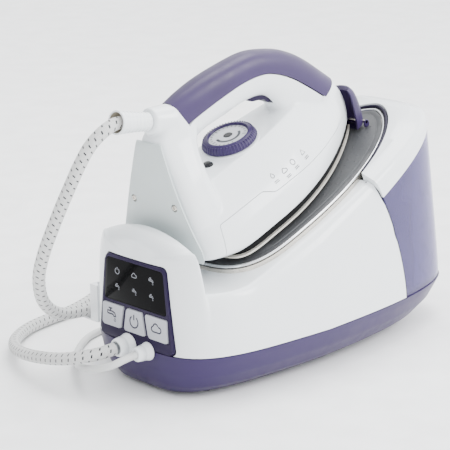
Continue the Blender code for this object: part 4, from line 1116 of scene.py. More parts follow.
class Sign:
    """Small generic signs, drawn as raised lines in a plate's frame."""

    height = 0.00012

    @classmethod
    def line(cls, bm: Mesh, points: Sequence[Flat], width: float, level: float) -> None:
        """A raised line of even width along points.

        Args:
            bm: the body it is added to.
            points: the line, as (x, y).
            width: its width.
            level: the height it stands on.
        """
        flat = [Vector((x, y)) for x, y in points]
        left, right = [], []
        for i, point in enumerate(flat):
            ahead = (flat[min(i + 1, len(flat) - 1)] - flat[max(i - 1, 0)]).normalized()
            side = Vector((-ahead.y, ahead.x)) * width / 2
            left.append(point + side)
            right.append(point - side)
        for (a, b), (c, d) in zip(zip(left, left[1:]), zip(right, right[1:])):
            corners = [(p.x, p.y, level + rise) for rise in (0.0, cls.height) for p in (a, b, d, c)]
            verts = [bm.verts.new(corner) for corner in corners]
            for face in ((0, 1, 2, 3), (7, 6, 5, 4), (0, 4, 5, 1), (1, 5, 6, 2), (2, 6, 7, 3), (3, 7, 4, 0)):
                bm.faces.new([verts[k] for k in face])

    @classmethod
    def arc(cls, bm: Mesh, centre: Flat, radius: float, start: float, end: float,
            width: float, level: float) -> None:
        """A raised arc.

        Args:
            bm: the body it is added to.
            centre: its middle.
            radius: its radius.
            start: its first angle in degrees.
            end: its last angle.
            width: the line's width.
            level: the height it stands on.
        """
        count = max(4, int(abs(end - start) / 15))
        angles = [math.radians(mix(start, end, k / count)) for k in range(count + 1)]
        cls.line(bm, [(centre[0] + radius * math.cos(a), centre[1] + radius * math.sin(a)) for a in angles],
                 width, level)

    @classmethod
    def power(cls, bm: Mesh, centre: Flat, size: float, level: float) -> None:
        """A broken ring with a bar.

        Args:
            bm: the body it is added to.
            centre: its middle.
            size: half its height.
            level: the height it stands on.
        """
        x, y = centre
        cls.arc(bm, centre, size * 0.8, 125, 415, size * 0.2, level)
        cls.line(bm, [(x, y + size * 0.25), (x, y + size)], size * 0.2, level)

    @classmethod
    def cloud(cls, bm: Mesh, centre: Flat, size: float, level: float) -> None:
        """A puff of steam: three arcs over a flat foot.

        Args:
            bm: the body it is added to.
            centre: its middle.
            size: half its height.
            level: the height it stands on.
        """
        x, y = centre
        width = size * 0.19
        cls.arc(bm, (x - size * 0.55, y - size * 0.05), size * 0.38, 100, 270, width, level)
        cls.arc(bm, (x - size * 0.12, y + size * 0.3), size * 0.45, 20, 175, width, level)
        cls.arc(bm, (x + size * 0.5, y - size * 0.02), size * 0.4, -90, 105, width, level)
        cls.line(bm, [(x - size * 0.55, y - size * 0.42), (x + size * 0.5, y - size * 0.42)], width, level)

    @classmethod
    def tap(cls, bm: Mesh, centre: Flat, size: float, level: float) -> None:
        """A tap with a drop.

        Args:
            bm: the body it is added to.
            centre: its middle.
            size: half its height.
            level: the height it stands on.
        """
        x, y = centre
        width = size * 0.2
        outline = [(-0.9, 0.1), (-0.9, 0.5), (0.1, 0.5), (0.55, 0.35), (0.75, -0.15), (0.35, -0.15),
                   (0.2, 0.1), (-0.9, 0.1)]
        cls.line(bm, [(x + size * u, y + size * v) for u, v in outline], width, level)
        cls.line(bm, [(x - size * 0.3, y + size * 0.5), (x - size * 0.3, y + size * 0.9)], width, level)
        cls.line(bm, [(x - size * 0.65, y + size * 0.9), (x + size * 0.05, y + size * 0.9)], width, level)
        cls.drop(bm, (x + size * 0.55, y - size * 0.65), size * 0.3, level)

    @classmethod
    def drop(cls, bm: Mesh, centre: Flat, size: float, level: float) -> None:
        """A water drop's outline.

        Args:
            bm: the body it is added to.
            centre: its middle.
            size: half its height.
            level: the height it stands on.
        """
        x, y = centre
        cls.arc(bm, centre, size * 0.6, 150, 390, size * 0.22, level)
        cls.line(bm, [(x - size * 0.52, y + size * 0.3), (x, y + size), (x + size * 0.52, y + size * 0.3)],
                 size * 0.22, level)


@dataclass(frozen=True)
class IronRest:
    """The heat mat the iron parks on, its steel plate, bright rim, ribs and the tank bay's gasket."""

    scatter: Scatter
    mat: float = 0.0022
    pad_y: float = 0.038
    pimple_pitch: float = 0.009

    @staticmethod
    def sloped(points: Sequence[Flat], lift: float) -> list[Point]:
        """Plan points carried up to the rest surface, plus a lift."""
        return [(x, y, SHAPE.rest_height(x) + lift) for x, y in points]

    def build(self) -> None:
        """Makes the pieces."""
        plate = [self.sloped(SHAPE.rest_outline(0.0028), lift) for lift in (-0.0068, -0.0025)]
        add("plate", loft(plate), STEEL, Body.BASE, "rest_plate")
        layers = ((-GAP, -self.mat), (-GAP, -0.0004), (-GAP - 0.0006, 0.0), (-0.0045, 0.0),
                  (-0.0052, -0.0006), (-0.0066, -0.0006), (-0.0073, 0.0))
        mat = [self.sloped(SHAPE.rest_outline(offset), lift) for offset, lift in layers]
        add("mat", loft(mat), MAT, Body.BASE, "rest_mat")
        rim = [self.sloped(SHAPE.rest_outline(0.0014 + 0.0011 * math.cos(a)), -0.0006 + 0.0014 * math.sin(a))
               for a in (math.tau * k / 12 for k in range(12))]
        add("rim", loft(rim, endless=True), CHROME, Body.BASE, "rest_rim")
        self.pimples()
        for side, y in (("left", self.pad_y), ("right", -self.pad_y)):
            rings = []
            for x, share in ((-0.06, 0.4), (-0.0592, 0.9), (-0.0575, 1.0), (0.0075, 1.0), (0.0092, 0.9),
                             (0.01, 0.4)):
                z = SHAPE.rest_height(x)
                profile = ((-0.0025, 0.0003), (0.0025, 0.0003), (0.0021, 0.0024), (0.0013, 0.0034),
                           (0.0, 0.0037), (-0.0013, 0.0034), (-0.0021, 0.0024))
                rings.append([(x, y + across * mix(0.8, 1, share), z + lift * share) for across,
                              lift in profile])
            add("pad_" + side, loft(rings, fan=True), PURPLE, Body.BASE, "rest_pad_" + side)
        nose = sorted((p for p in SHAPE.rest_outline(0.005, 200) if p[0] > 0.04),
                      key=lambda p: math.atan2(p[1], p[0] - 0.02))
        line = catmull(self.sloped(nose[::4], 0.0008), 0.003)
        add("gasket", tube(line, 0.0018, 12), TRIM, Body.BASE, "bay_gasket")

    def pimples(self) -> None:
        """Rows of low pimples over the mat."""
        item = lathe([(0, 0), (0.0011, 0), (0.0009, 0.0003), (0.0004, 0.0005), (0, 0.00055)], 10)
        pitch, rows = self.pimple_pitch, []
        for i in range(-13, 15):
            for j in range(-7, 8):
                x, y = i * pitch, (j + 0.5 * (i % 2)) * pitch
                if self.inside(x, y):
                    rows.append(((x, y, SHAPE.rest_height(x) - 0.0001), (0, -SHAPE.pitch, 0), UNIT))
        settle(self.scatter.spread("mat_pimples", item, rows, MAT), Body.BASE, MAT)

    def inside(self, x: float, y: float) -> bool:
        """Whether a plan point has room for a pimple.

        Args:
            x: the point's x.
            y: its y.

        Returns:
            True if it is well inside the mat and clear of the ribs.
        """
        if abs(abs(y) - self.pad_y) < 0.005 and -0.065 < x < 0.015:
            return False
        share = max(0.0, (x + 0.05) / 0.183) if x > -0.05 else max(0.0, (-0.05 - x) / 0.072)
        limit = 0.072 * (1 - share**2.2) ** 0.62 if share < 1 else 0.0
        return abs(y) < limit - 0.012


@dataclass(frozen=True)
class WaterTank:
    """The slide-out tank: a lavender clear cup with stepped ribs, and its lid round the rest's nose."""

    gap: float = 0.0012
    wall: float = 0.0022
    lean: float = 0.024
    side_lean: float = 0.16  # share of the lean that the flanks have
    lid_low: Flat = (0.05, 0.155)
    lid_slope: float = 0.46
    lid_top: float = 0.223
    filler_x: float = 0.095
    filler_radius: float = 0.016
    painted_shade_span: Flat = (0.04, 0.97)
    painted_shade_x: float = 0.1038
    trim_radius: float = 0.001

    def build(self) -> None:
        """Makes the pieces."""
        self.cup()
        self.lid()
        self.ribs()
        self.painted_shade_skin()
        self.trim()

    def rim_height(self, x: float) -> float:
        """Height of the lid's lower edge, which is also the cup's rim."""
        return self.lid_low[1] + self.lid_slope * (x - self.lid_low[0])

    def ring(self, share: float, wall: float = 0.0) -> list[Point]:
        """The cup's outline at one level.

        Args:
            share: how far up.
            wall: how far it is drawn in.

        Returns:
            Its points.
        """
        lean = self.lean * share
        start = SHAPE.bay_edge(mix(SHAPE.seam_z, self.lid_low[1], share)) + self.gap + wall
        foot = 0.0008 * math.exp(-share * 26)
        return [(x, y, mix(SHAPE.seam_z + GAP, self.rim_height(x) - GAP, share))
                for x, y in SHAPE.rear_outline(start, lean + wall + foot,
                                              lean * self.side_lean + wall + 0.0004 + foot)]

    def cup(self) -> None:
        """The cup: its outside, its inside and its floor."""
        levels = [ease(k / 26) * 0.4 + 0.6 * k / 26 for k in range(27)]
        outer = [self.ring(share) for share in levels]
        inner = [self.ring(share, self.wall) for share in reversed(levels[1:])]
        floor = [(x, y, SHAPE.seam_z + GAP + self.wall) for x, y, z in self.ring(0.0, self.wall)]
        add("cup", loft(outer + inner + [floor]), TANK, Body.TANK, "water_tank")

    def lid_ring(self, share: float, inset: float) -> list[Point]:
        """The lid's outline at one level.

        Args:
            share: how far up.
            inset: how far it is drawn in.

        Returns:
            Its points.
        """
        ring = []
        start = SHAPE.bay_edge(mix(self.lid_low[1], 0.18, share)) + self.gap
        for x, y in SHAPE.rear_outline(start, self.lean + inset, self.lean * self.side_lean + inset):
            top = min(SHAPE.rest_height(x) + 0.003, self.lid_top)
            ring.append((x, y, mix(self.rim_height(x), top, share)))
        return ring

    def lid(self) -> None:
        """The lid: a crowned cap with a well for the rest's nose and the filler hole."""
        table = ((0.0, 0.0), (0.25, 0.0003), (0.5, 0.0014), (0.75, 0.005), (1.0, 0.018))
        rings = [self.lid_ring(share, table_at(table, share)[1]) for share in (k / 22 for k in range(23))]
        rings.insert(0, self.lid_ring(0.0, 0.001))
        lid = piece("lid", loft(rings), WHITE)
        well = SHAPE.rest_outline(0.0072)
        cutter = piece("lid_well", loft([[(x, y, self.rim_height(x) + 0.003) for x, y in well],
                                         [(x, y, SHAPE.rest_height(x) + 0.03) for x, y in well]]), None)
        radius = self.filler_radius
        filler = piece("filler", lathe([(0, 0.1), (radius, 0.1), (radius, 0.24), (0, 0.24)]), None,
                       shifted((self.filler_x, 0, 0)))
        settle(carved(lid, cutter, filler), Body.TANK, WHITE, "tank_lid")

    def painted_shade_skin(self) -> None:
        """A dark opaque skin inside the cup behind the rib: painted shade that darkens that part of the tank.
        """
        low, top = self.painted_shade_span
        rings = []
        for wall in (0.0, 0.0012):
            for k in range(21):
                share = mix(low, top, k / 20) if wall == 0.0 else mix(top, low, k / 20)
                lean = self.lean * share
                inset = self.wall + 0.0006 + wall
                rings.append([(x, y, mix(SHAPE.seam_z + GAP, self.rim_height(x) - GAP, share)) for x, y in
                              SHAPE.rear_outline(self.painted_shade_x + wall, lean + inset,
                                                 lean * self.side_lean + inset + 0.0004)])
        add("tank_liner", loft(rings, endless=True), TANK_PAINTED_SHADE, Body.TANK)

    def trim(self) -> None:
        """The dark gasket that fills the gap between the casing's edge and the tank, on both flanks."""
        shell = BaseShell()
        for side in (-1, 1):
            route = []
            for k in range(40):
                z = mix(0.0465, 0.1745, k / 39)
                x = SHAPE.bay_edge(z) + 0.0007
                ring = [p for p in shell.ring(x) if p[1] >= 0]
                near = min(ring, key=lambda p: abs(p[2] - z))
                route.append((x, side * (near[1] - 0.0007), min(z, near[2] - 0.0002)))
            line = catmull(route[::3], 0.003)
            add(f"bay_trim_{'left' if side > 0 else 'right'}", tube(line, self.trim_radius, 10), TRIM,
                Body.BASE)

    def ribs(self) -> None:
        """The inner rib that steps down each flank."""
        for side in (-1, 1):
            route = []
            for x, z in ((0.087, 0.168), (0.085, 0.1439), (0.0985, 0.138), (0.099, 0.0999),
                         (0.1033, 0.094), (0.1033, 0.047)):
                share = (z - SHAPE.seam_z) / (self.rim_height(x) - SHAPE.seam_z)
                lean = self.lean * share
                y = SHAPE.width_at(x, lean + self.wall, lean * self.side_lean + self.wall + 0.0012)
                route.append((x, side * (y - 0.0004), z))
            line = catmull(route, 0.003)
            add(f"tank_rib_{'left' if side > 0 else 'right'}", tube(line, 0.0011, 10), TANK, Body.TANK)


@dataclass(frozen=True)
class Iron:
    """The parked iron, built in its own frame: sole at z = 0, nose towards +x."""

    scatter: Scatter
    sole_middle: float = 0.042
    sole_tail: float = -0.0245
    deck: float = 0.0735
    heel_foot: float = 0.0204
    heel_top: float = 0.133
    handle: Table = (  # grip's crown, grip's lower edge, underside of the handle, half width
        (-0.0032, 0.1514, 0.0019, 0.1267, 0.006, 0.104, 0.0125),
        (0.0157, 0.1529, 0.0232, 0.1289, 0.0245, 0.1075, 0.0148),
        (0.0438, 0.1529, 0.0515, 0.1294, 0.0515, 0.106, 0.0158),
        (0.0836, 0.1487, 0.079, 0.1279, 0.079, 0.1045, 0.0162),
        (0.106, 0.144, 0.1018, 0.123, 0.1, 0.0985, 0.0165),
        (0.1269, 0.1344, 0.117, 0.1152, 0.109, 0.088, 0.0168),
        (0.1453, 0.1227, 0.134, 0.1014, 0.1135, 0.074, 0.0172),
        (0.165, 0.103, 0.1494, 0.084, 0.117, 0.06, 0.018),
        (0.1905, 0.068, 0.168, 0.06, 0.125, 0.05, 0.019),
    )
    hull: Table = (  # height, nose, half width
        (0.0085, 0.2045, 0.0608), (0.014, 0.206, 0.0618), (0.0204, 0.2072, 0.0622), (0.031, 0.2075, 0.0605),
        (0.04, 0.206, 0.0562), (0.05, 0.202, 0.049), (0.062, 0.195, 0.0385), (0.0735, 0.186, 0.0285),
    )
    tower: Table = (  # height, front, half width
        (0.048, 0.0, 0.049), (0.066, -0.003, 0.044), (0.092, 0.0, 0.034), (0.108, 0.006, 0.025),
        (0.123, 0.016, 0.018), (0.148, 0.0, 0.011),
    )
    seam: Table = ((-0.042, -0.005), (-0.0385, 0.015), (-0.0356, 0.027), (-0.0325, 0.037),
                   (-0.029, 0.044), (-0.0275, 0.0446), (0.0, 0.0447), (0.027, 0.0445), (0.03, 0.044),
                   (0.039, 0.039), (0.0425, 0.0377), (0.063, 0.0368), (0.096, 0.034), (0.14, 0.0303),
                   (0.1875, 0.0261), (0.22, 0.024))
    boss: tuple[float, ...] = (-0.0064, 0.1355, -0.0294, 0.1474)
    sleeve: tuple[float, ...] = (-0.03, 0.1477, -0.0624, 0.1662)
    screws_y: float = 0.0274
    screws_z: float = 0.0737
    dial_x: float = 0.0528
    voxel: float = 0.0013
    skirt_end: float = -0.0345
    skirt_foot: float = 0.0122
    slot_x: Flat = (0.085, 0.1282)
    slot_z: Flat = (0.0846, 0.112)
    slot_half: float = 0.0073
    lamp_spot: tuple[float, ...] = (0.0152, -0.005, 0.0)
    sign_spots: Table = ((0.049, 0.0485), (0.064, 0.0455), (0.078, 0.046), (0.0955, 0.0456))

    @property
    def place(self) -> Matrix:
        """Where the parked iron stands."""
        return SHAPE.iron_frame

    def build(self) -> None:
        """Makes the pieces."""
        self.shell()
        self.grip()
        self.heel()
        self.sole()
        self.hose_sleeve()
        self.pictograms()

    def plan(self, offset: float = 0.0, nose: float = 0.2052, tail: float = -0.004, half: float = 0.06,
             steps: int = 150) -> list[Flat]:
        """The sole's plan: a pointed nose and a blunt rounded tail.

        Args:
            offset: how far it is moved outwards.
            nose: its foremost x.
            tail: its rearmost x.
            half: its half width.
            steps: points round it.

        Returns:
            Its points.
        """
        points = []
        for i in range(steps):
            angle = math.tau * (i + 0.5) / steps
            c, s = math.cos(angle), math.sin(angle)
            if c < 0:
                points.append((self.sole_middle + (self.sole_middle - tail + offset) * signed_power(c, 1 / 3),
                               (half + offset) * signed_power(s, 1 / 3)))
            else:
                share = c**0.75
                points.append((self.sole_middle + (nose - self.sole_middle + offset) * share,
                               math.copysign((half + offset) * (1 - share**1.85) ** 0.95, s)))
        return points

    def heel_x(self, z: float) -> float:
        """The iron's rear face, which leans forward as it rises."""
        rise = z - self.heel_foot
        return -0.0615 + 0.086 * rise + 1.16 * rise * rise

    def heel_half_width(self, z: float) -> float:
        """Half width of the rear face: a flared foot, drawn in to a slim top."""
        share = (z - self.heel_foot) / (self.heel_top - self.heel_foot)
        foot = 0.0575 - 0.007 * max(0.0, 1 - share / 0.13)
        return mix(foot, 0.015, max(0.0, min(1.0, (share - 0.06) / 0.94)) ** 0.86)

    @staticmethod
    def arch(low: Point, high: Point, half: float, count: int = 33) -> list[Point]:
        """Half an ellipse across the iron.

        Args:
            low: the (x, z) of its two feet.
            high: the (x, z) of its crown.
            half: its half width.
            count: its points.

        Returns:
            Its points, from one foot to the other.
        """
        points = []
        for i in range(count):
            angle = math.pi * i / (count - 1)
            rise = math.sin(angle) ** 0.8
            points.append((mix(low[0], high[0], rise), -half * signed_power(math.cos(angle), 0.8),
                           mix(low[1], high[1], rise)))
        return points

    def tail_at(self, z: float) -> float:
        """Where the hull's plan ends at the back, at a given height."""
        if z < self.heel_foot:
            return mix(-0.02, self.heel_x(self.heel_foot) + 0.0035,
                       ((z - 0.0085) / (self.heel_foot - 0.0085)) ** 0.7)
        return self.heel_x(z) + 0.0035

    def shell(self) -> None:
        """The white body: hull, tower, handle and boss grown into one skin, then cut for what sits in it."""
        solids = [loft([[(x, y, z) for x, y in self.plan(0.0, nose, self.tail_at(z), half)]
                        for z, nose, half in self.smoothed(self.hull, 24)])]
        rings = []
        for z, front, half in self.smoothed(self.tower, 20):
            back = self.heel_x(min(z, self.heel_top)) + 0.0033 + (0.01 if z > self.heel_top else 0.0)
            ring = []
            for i in range(48):
                angle = math.tau * (i + 0.5) / 48
                c, s = math.cos(angle), math.sin(angle)
                ring.append((mix(back, front, 0.5 + 0.5 * signed_power(c, 0.45)),
                             half * (1 - 0.25 * max(0.0, c)) * signed_power(s, 0.45), z))
            rings.append(ring)
        solids.append(loft(rings))
        core = []
        for k in range(49):
            cx, cz, ex, ez, ux, uz, half = table_at(self.handle, k / 48)
            core.append(self.arch((mix(ex, cx, 0.1), mix(ez, cz, 0.1)), (ux, uz), half))
        solids.append(loft(core))
        x0, z0, x1, z1 = self.boss
        solids.append(tube([Vector((x0, 0, z0)).lerp(Vector((x1, 0, z1)), k / 6) for k in range(7)],
                           lambda s: mix(0.0155, 0.0122, min(1, s / 0.026)), 40))
        whole = bpy.data.meshes.new("body")
        bm = bmesh.new()
        for solid in solids:
            bmesh.ops.recalc_face_normals(solid, faces=solid.faces)
            solid.to_mesh(whole)
            bm.from_mesh(whole)
            solid.free()
        body = piece("body", bm, WHITE)
        skin = body.modifiers.new("skin", "REMESH")
        skin.mode, skin.voxel_size = "VOXEL", self.voxel
        relax = body.modifiers.new("relax", "SMOOTH")
        relax.factor, relax.iterations = 0.5, 14
        baked(body)
        lamp_place = shifted(self.lamp_spot) @ Matrix.Diagonal((0.9, 1.1, 1, 1))
        lamp_seat = lathe([(0, self.deck - 0.002), (0.0056, self.deck - 0.002), (0.0056, self.deck + 0.01),
                           (0, self.deck + 0.01)], 32)
        carved(body, self.seat(), self.seam_cutter(),
               self.block("under", (self.skirt_end, 0.25), 0.09, (-0.01, self.skirt_foot)),
               self.block("slot", self.slot_x, self.slot_half, self.slot_z),
               piece("lamp_seat", lamp_seat, None, lamp_place))
        body.data.transform(self.place)
        settle(body, Body.IRON, WHITE, "iron_housing", "iron_skirt")
        lamp = lathe([(0, self.deck + 0.0026), (0.0036, self.deck + 0.0022), (0.005, self.deck + 0.001),
                      (0.0053, self.deck - 0.0015), (0, self.deck - 0.0015)], 40)
        lamp.transform(lamp_place)
        add("lamp", lamp, BLACK, Body.IRON, "indicator_lamp", place=self.place)

    @staticmethod
    def block(name: str, across_x: Flat, half: float, across_z: Flat) -> Object:
        """A square cutter between two x, two heights and a half width."""
        low, high = across_x
        return piece(name, prism([(low, -half), (high, -half), (high, half), (low, half)], *across_z), None)

    @staticmethod
    def smoothed(table: Sequence[Sequence[float]], count: int) -> list[list[float]]:
        """A table read smoothly at evenly spaced rows."""
        return [table_at(table, k / count) for k in range(count + 1)]

    def seat(self) -> Object:
        """The space over the grip's lower edge, cut from the body."""
        rings = []
        for k in range(49):
            cx, cz, ex, ez, ux, uz, half = table_at(self.handle, k / 48)
            low = (mix(ex, ux, 0.034), mix(ez, uz, 0.034))
            high = (mix(ex, cx, 1.5), mix(ez, cz, 1.5))
            rings.append(self.arch(low, high, half + 0.005))
        return piece("seat", loft(rings), None)

    def seam_cutter(self) -> Object:
        """A thin curtain along the joint between the housing and the skirt."""
        line = respaced([Vector((x, 0, z)) for x, z in self.seam], 0.002)
        half = 0.00034
        upper, lower = [], []
        for i, point in enumerate(line):
            ahead = (line[min(i + 1, len(line) - 1)] - line[max(i - 1, 0)]).normalized()
            up = Vector((-ahead.z, 0, ahead.x)) * half
            upper.append((point.x + up.x, point.z + up.z))
            lower.append((point.x - up.x, point.z - up.z))
        profile = lower + upper[::-1]
        return piece("seam", loft([[(x, y, z) for x, z in profile] for y in (-0.08, 0.08)], fan=True), None)

    def grip(self) -> None:
        """The purple grip over the handle."""
        rings = []
        for k in range(81):
            cx, cz, ex, ez, ux, uz, half = table_at(self.handle, k / 80)
            ring = self.arch((ex, ez), (cx, cz), half + 0.0004, 41)
            rings.append(ring)
        grip = piece("grip", loft(rings), GRIP, self.place)
        settle(grip, Body.IRON, GRIP, "grip_cover")

    def heel(self) -> None:
        """The pale heel cover, bowed and thin, with its two recessed screws."""
        heights = [mix(self.heel_foot + 0.0006, self.heel_top - 0.004, k / 44) for k in range(45)]
        rings = []
        for z in heights:
            back, half = self.heel_x(z), self.heel_half_width(z)
            ends = min(1.0, (z - heights[0]) / 0.003 + 0.3, (heights[-1] - z) / 0.003 + 0.3)
            face = []
            for k in range(21):
                share = -1 + k / 10
                bow = 0.0013 * abs(share) ** 6 + (1 - ends) * 0.0008
                face.append((back + bow, half * share * (1 - 0.02 * (1 - ends)), z))
            face += [(back + 0.003, half * share, z) for share in (0.985, 0.0, -0.985)]
            rings.append(face)
        cover = piece("heel", loft(rings, fan=True), PALE)
        cutters = []
        for y in (self.screws_y, -self.screws_y):
            hole = lathe([(0, -0.02), (0.0037, -0.02), (0.0037, 0.0024), (0, 0.0024)], 32)
            hole.transform(self.screw_place(y))
            cutters.append(piece("hole", hole, None))
        carved(cover, *cutters)
        cover.data.transform(self.place)
        settle(cover, Body.IRON, PALE, "heel_cover")
        for side, y in (("left", self.screws_y), ("right", -self.screws_y)):
            head = lathe([(0, 0.0008), (0.0007, 0.0008), (0.001, -0.0002), (0.002, -0.0004),
                          (0.0029, 0.0004), (0.0031, 0.0012), (0.0031, 0.0022), (0, 0.0022)], 32)
            head.transform(self.screw_place(y))
            add("screw_" + side, head, STEEL, Body.IRON, "heel_screw_" + side, place=self.place)

    def screw_place(self, y: float) -> Matrix:
        """A frame on the heel's face whose z goes into the iron."""
        spot = (self.heel_x(self.screws_z), y, self.screws_z)
        return shifted(spot) @ Matrix.Rotation(math.radians(100), 4, "Y")

    def sole(self) -> None:
        """The soleplate with its steam holes, the black shield above it."""
        rings = [[(x, y, z) for x, y in self.plan(offset, tail=self.sole_tail)] for z,
                 offset in ((0.0, -0.0022), (0.0003, -0.0009), (0.001, -0.0001), (0.0018, 0.0),
                            (0.0026, -0.0003))]
        add("sole", loft(rings), SOLE, Body.IRON, "soleplate", place=self.place)
        outer = [[(x, y, z) for x, y in self.plan(offset, tail=self.sole_tail)]
                 for z, offset in ((0.0205, -0.0034), (0.012, -0.0031), (0.0029, -0.003))]
        inner = [[(x, y, z) for x, y in self.plan(-0.0058, tail=self.sole_tail)] for z in (0.0029, 0.018)]
        add("shield", loft(outer + inner), SHIELD, Body.IRON, "heat_shield", place=self.place)
        hole = lathe([(0, 0.0003), (0.0013, 0.0003), (0.0013, -0.00004), (0.0019, -0.00006), (0.0022, 0.0002),
                      (0.0022, 0.0006), (0, 0.0006)], 16)
        rows = []
        for inset, count in ((-0.01, 46), (-0.018, 30)):
            ring = self.plan(inset, steps=count)
            rows += [((x, y, 0.0), LEVEL, UNIT) for x, y in ring if x > 0.03]
        settle(self.scatter.spread("steam_holes", hole, rows, STEEL, self.place), Body.IRON, STEEL)

    def hose_sleeve(self) -> None:
        """The ribbed bell round the hose: a hollow mouth with a beige lining."""
        x0, z0, x1, z1 = self.sleeve
        start, end = Vector((x0, 0, z0)), Vector((x1, 0, z1))
        length = (end - start).length
        turn = Vector((0, 0, 1)).rotation_difference(end - start).to_matrix().to_4x4()
        place = self.place @ shifted(start) @ turn
        profile = [(0, 0.0)]
        ribs = 8
        for k in range(ribs * 6 + 1):
            share = k / (ribs * 6)
            radius = mix(0.0083, 0.0105, share**1.6) + 0.0005 * max(0.0,
                                                                    math.sin(math.tau * share * ribs)) ** 0.6
            profile.append((radius, share * length * 0.97))
        profile += [(0.0112, length * 0.985), (0.011, length), (0.0096, length), (0.0086, length * 0.8),
                    (0.0072, length * 0.72), (0, length * 0.72)]
        add("sleeve", lathe(profile, 48), WHITE, Body.IRON, "hose_sleeve", place=place)
        lining = [(0.0095, length * 0.985), (0.0083, length * 0.8), (0.0066, length * 0.74),
                  (0.0064, length * 0.735), (0.0094, length * 0.78), (0.0098, length * 0.97)]
        add("sleeve_lining", lathe(lining, 48), BEIGE, Body.IRON, place=place)

    def pictograms(self) -> None:
        """Four small grey signs printed on each side of the hull, laid on its skin."""
        body = bpy.data.objects["body"]
        tree = BVHTree.FromObject(body, bpy.context.evaluated_depsgraph_get())
        back = body.matrix_world.inverted()
        for side in (-1, 1):
            made = bmesh.new()
            for number, (x, z) in enumerate(self.sign_spots):
                start = back @ (self.place @ Vector((x, side * 0.1, z)))
                ray = (back.to_3x3() @ (self.place.to_3x3() @ Vector((0, -side, 0)))).normalized()
                spot, normal, _, _ = tree.ray_cast(start, ray)
                if spot is None:
                    continue
                up = (self.place.to_3x3() @ Vector((0, 0, 1))).normalized()
                across = up.cross(normal).normalized()
                up = normal.cross(across).normalized()
                skin = Matrix((across, up, normal)).transposed().to_4x4()
                skin.translation = spot
                sign = bmesh.new()
                if number == 0:
                    Sign.drop(sign, (0, 0), 0.0032, 0.0)
                elif number == 1:
                    Sign.cloud(sign, (0, 0), 0.0038, 0.0)
                elif number == 2:
                    Sign.arc(sign, (0, 0), 0.0028, 0, 360, 0.0007, 0.0)
                else:
                    Sign.line(sign, [(-0.003, -0.002), (0.0, 0.003), (0.003, -0.002), (-0.003, -0.002)],
                              0.0007, 0.0)
                for row in (-0.0056, -0.0072):
                    Sign.line(sign, [(-0.003, row), (0.003, row)], 0.0006, 0.0)
                sign.transform(skin)
                scratch = bpy.data.meshes.new("sign")
                sign.to_mesh(scratch)
                made.from_mesh(scratch)
                sign.free()
            add(f"pictograms_{'left' if side > 0 else 'right'}", made, INK, Body.IRON, sharp=30)


@dataclass(frozen=True)
class IronControls:
    """The temperature dial and the steam trigger."""

    iron: Iron
    scatter: Scatter
    dial_radius: float = 0.0268
    dial_height: float = 0.009
    knurls: int = 52
    trigger_spot: tuple[float, ...] = (0.0885, 0.0, 0.1045)
    trigger_half: float = 0.0062
    lever: Table = ((-0.0025, -0.002), (0.0, -0.003), (0.014, -0.0065), (0.019, -0.01),
                    (0.025, -0.0095), (0.0335, -0.015), (0.0345, -0.0125), (0.025, -0.005),
                    (0.012, 0.001), (0.0, 0.0025), (-0.0025, 0.0015))
    lever_stretch: float = 1.7  # how much deeper than drawn

    def build(self) -> None:
        """Makes the pieces."""
        self.dial()
        self.trigger()

    def dial(self) -> None:
        """A knurled purple ring round a silver disc with ticks, on a white base."""
        base = self.iron.deck + 0.0015
        radius, height = self.dial_radius, self.dial_height
        place = self.iron.place @ shifted((self.iron.dial_x, 0, base))
        ring = [(radius - 0.0006, 0.0002), (radius, 0.001), (radius - 0.0004, 0.0046),
                (radius - 0.003, 0.0078), (radius - 0.0052, height - 0.0003), (radius - 0.0064, height),
                (radius - 0.0072, height - 0.0008), (0.0192, 0.006), (0.0192, 0.0)]
        add("dial_ring", lathe(ring, 96), PURPLE, Body.DIAL, "temperature_dial", place=place)
        knurl = lathe([(0, -0.0036), (0.0008, -0.0033), (0.0009, 0.0), (0.0008, 0.0033), (0, 0.0036)], 8)
        rows = []
        for k in range(self.knurls):
            a = math.tau * k / self.knurls
            rows.append((((radius - 0.0012) * math.cos(a), (radius - 0.0012) * math.sin(a), 0.0048),
                         (0, math.radians(-24), a), UNIT))
        settle(self.scatter.spread("dial_knurls", knurl, rows, PURPLE, place), Body.DIAL, PURPLE)
        disc = [(0, 0.0078), (0.006, 0.0077), (0.0165, 0.0071), (0.0191, 0.0068), (0.0191, 0.003),
                (0, 0.003)]
        add("dial_disc", lathe(disc, 96), SILVER, Body.DIAL, place=place)
        ticks = bmesh.new()
        for k in range(21):
            a = math.radians(-60 + k * 15)
            inner, outer = (0.0155, 0.0178) if k % 5 else (0.0142, 0.0178)
            Sign.line(ticks, [(inner * math.cos(a), inner * math.sin(a)),
                              (outer * math.cos(a), outer * math.sin(a))], 0.0006, 0.0073)
        Sign.arc(ticks, (0, 0), 0.0112, 150, 330, 0.0026, 0.0074)
        add("dial_print", ticks, INK, Body.DIAL, place=place)
        dot = lathe([(0, 0.0083), (0.004, 0.0082), (0.0046, 0.0077), (0.0046, 0.007), (0, 0.007)], 48)
        add("dial_dot", dot, BLACK, Body.DIAL, place=place)
        plinth = [(radius + 0.002, -0.003), (radius + 0.0018, -0.0009), (radius + 0.0008, -0.0004),
                  (0.006, -0.0004), (0.006, -0.003)]
        add("dial_plinth", lathe(plinth, 96), WHITE, Body.IRON, place=place)

    def trigger(self) -> None:
        """The purple lever under the handle, with a wavy edge."""
        loop = [(x, 0, z * self.lever_stretch) for x, z in (*self.lever, self.lever[0])]
        closed = catmull(loop, 0.0008)[:-1]
        turn = Matrix(((1, 0, 0, 0), (0, 0, -1, 0), (0, 1, 0, 0), (0, 0, 0, 1)))
        bm = prism([(p.x, p.z) for p in closed], -self.trigger_half, self.trigger_half, 0.0008)
        place = self.iron.place @ shifted(self.trigger_spot) @ turn
        add("trigger", bm, FRAME, Body.TRIGGER, "steam_trigger", place=place)


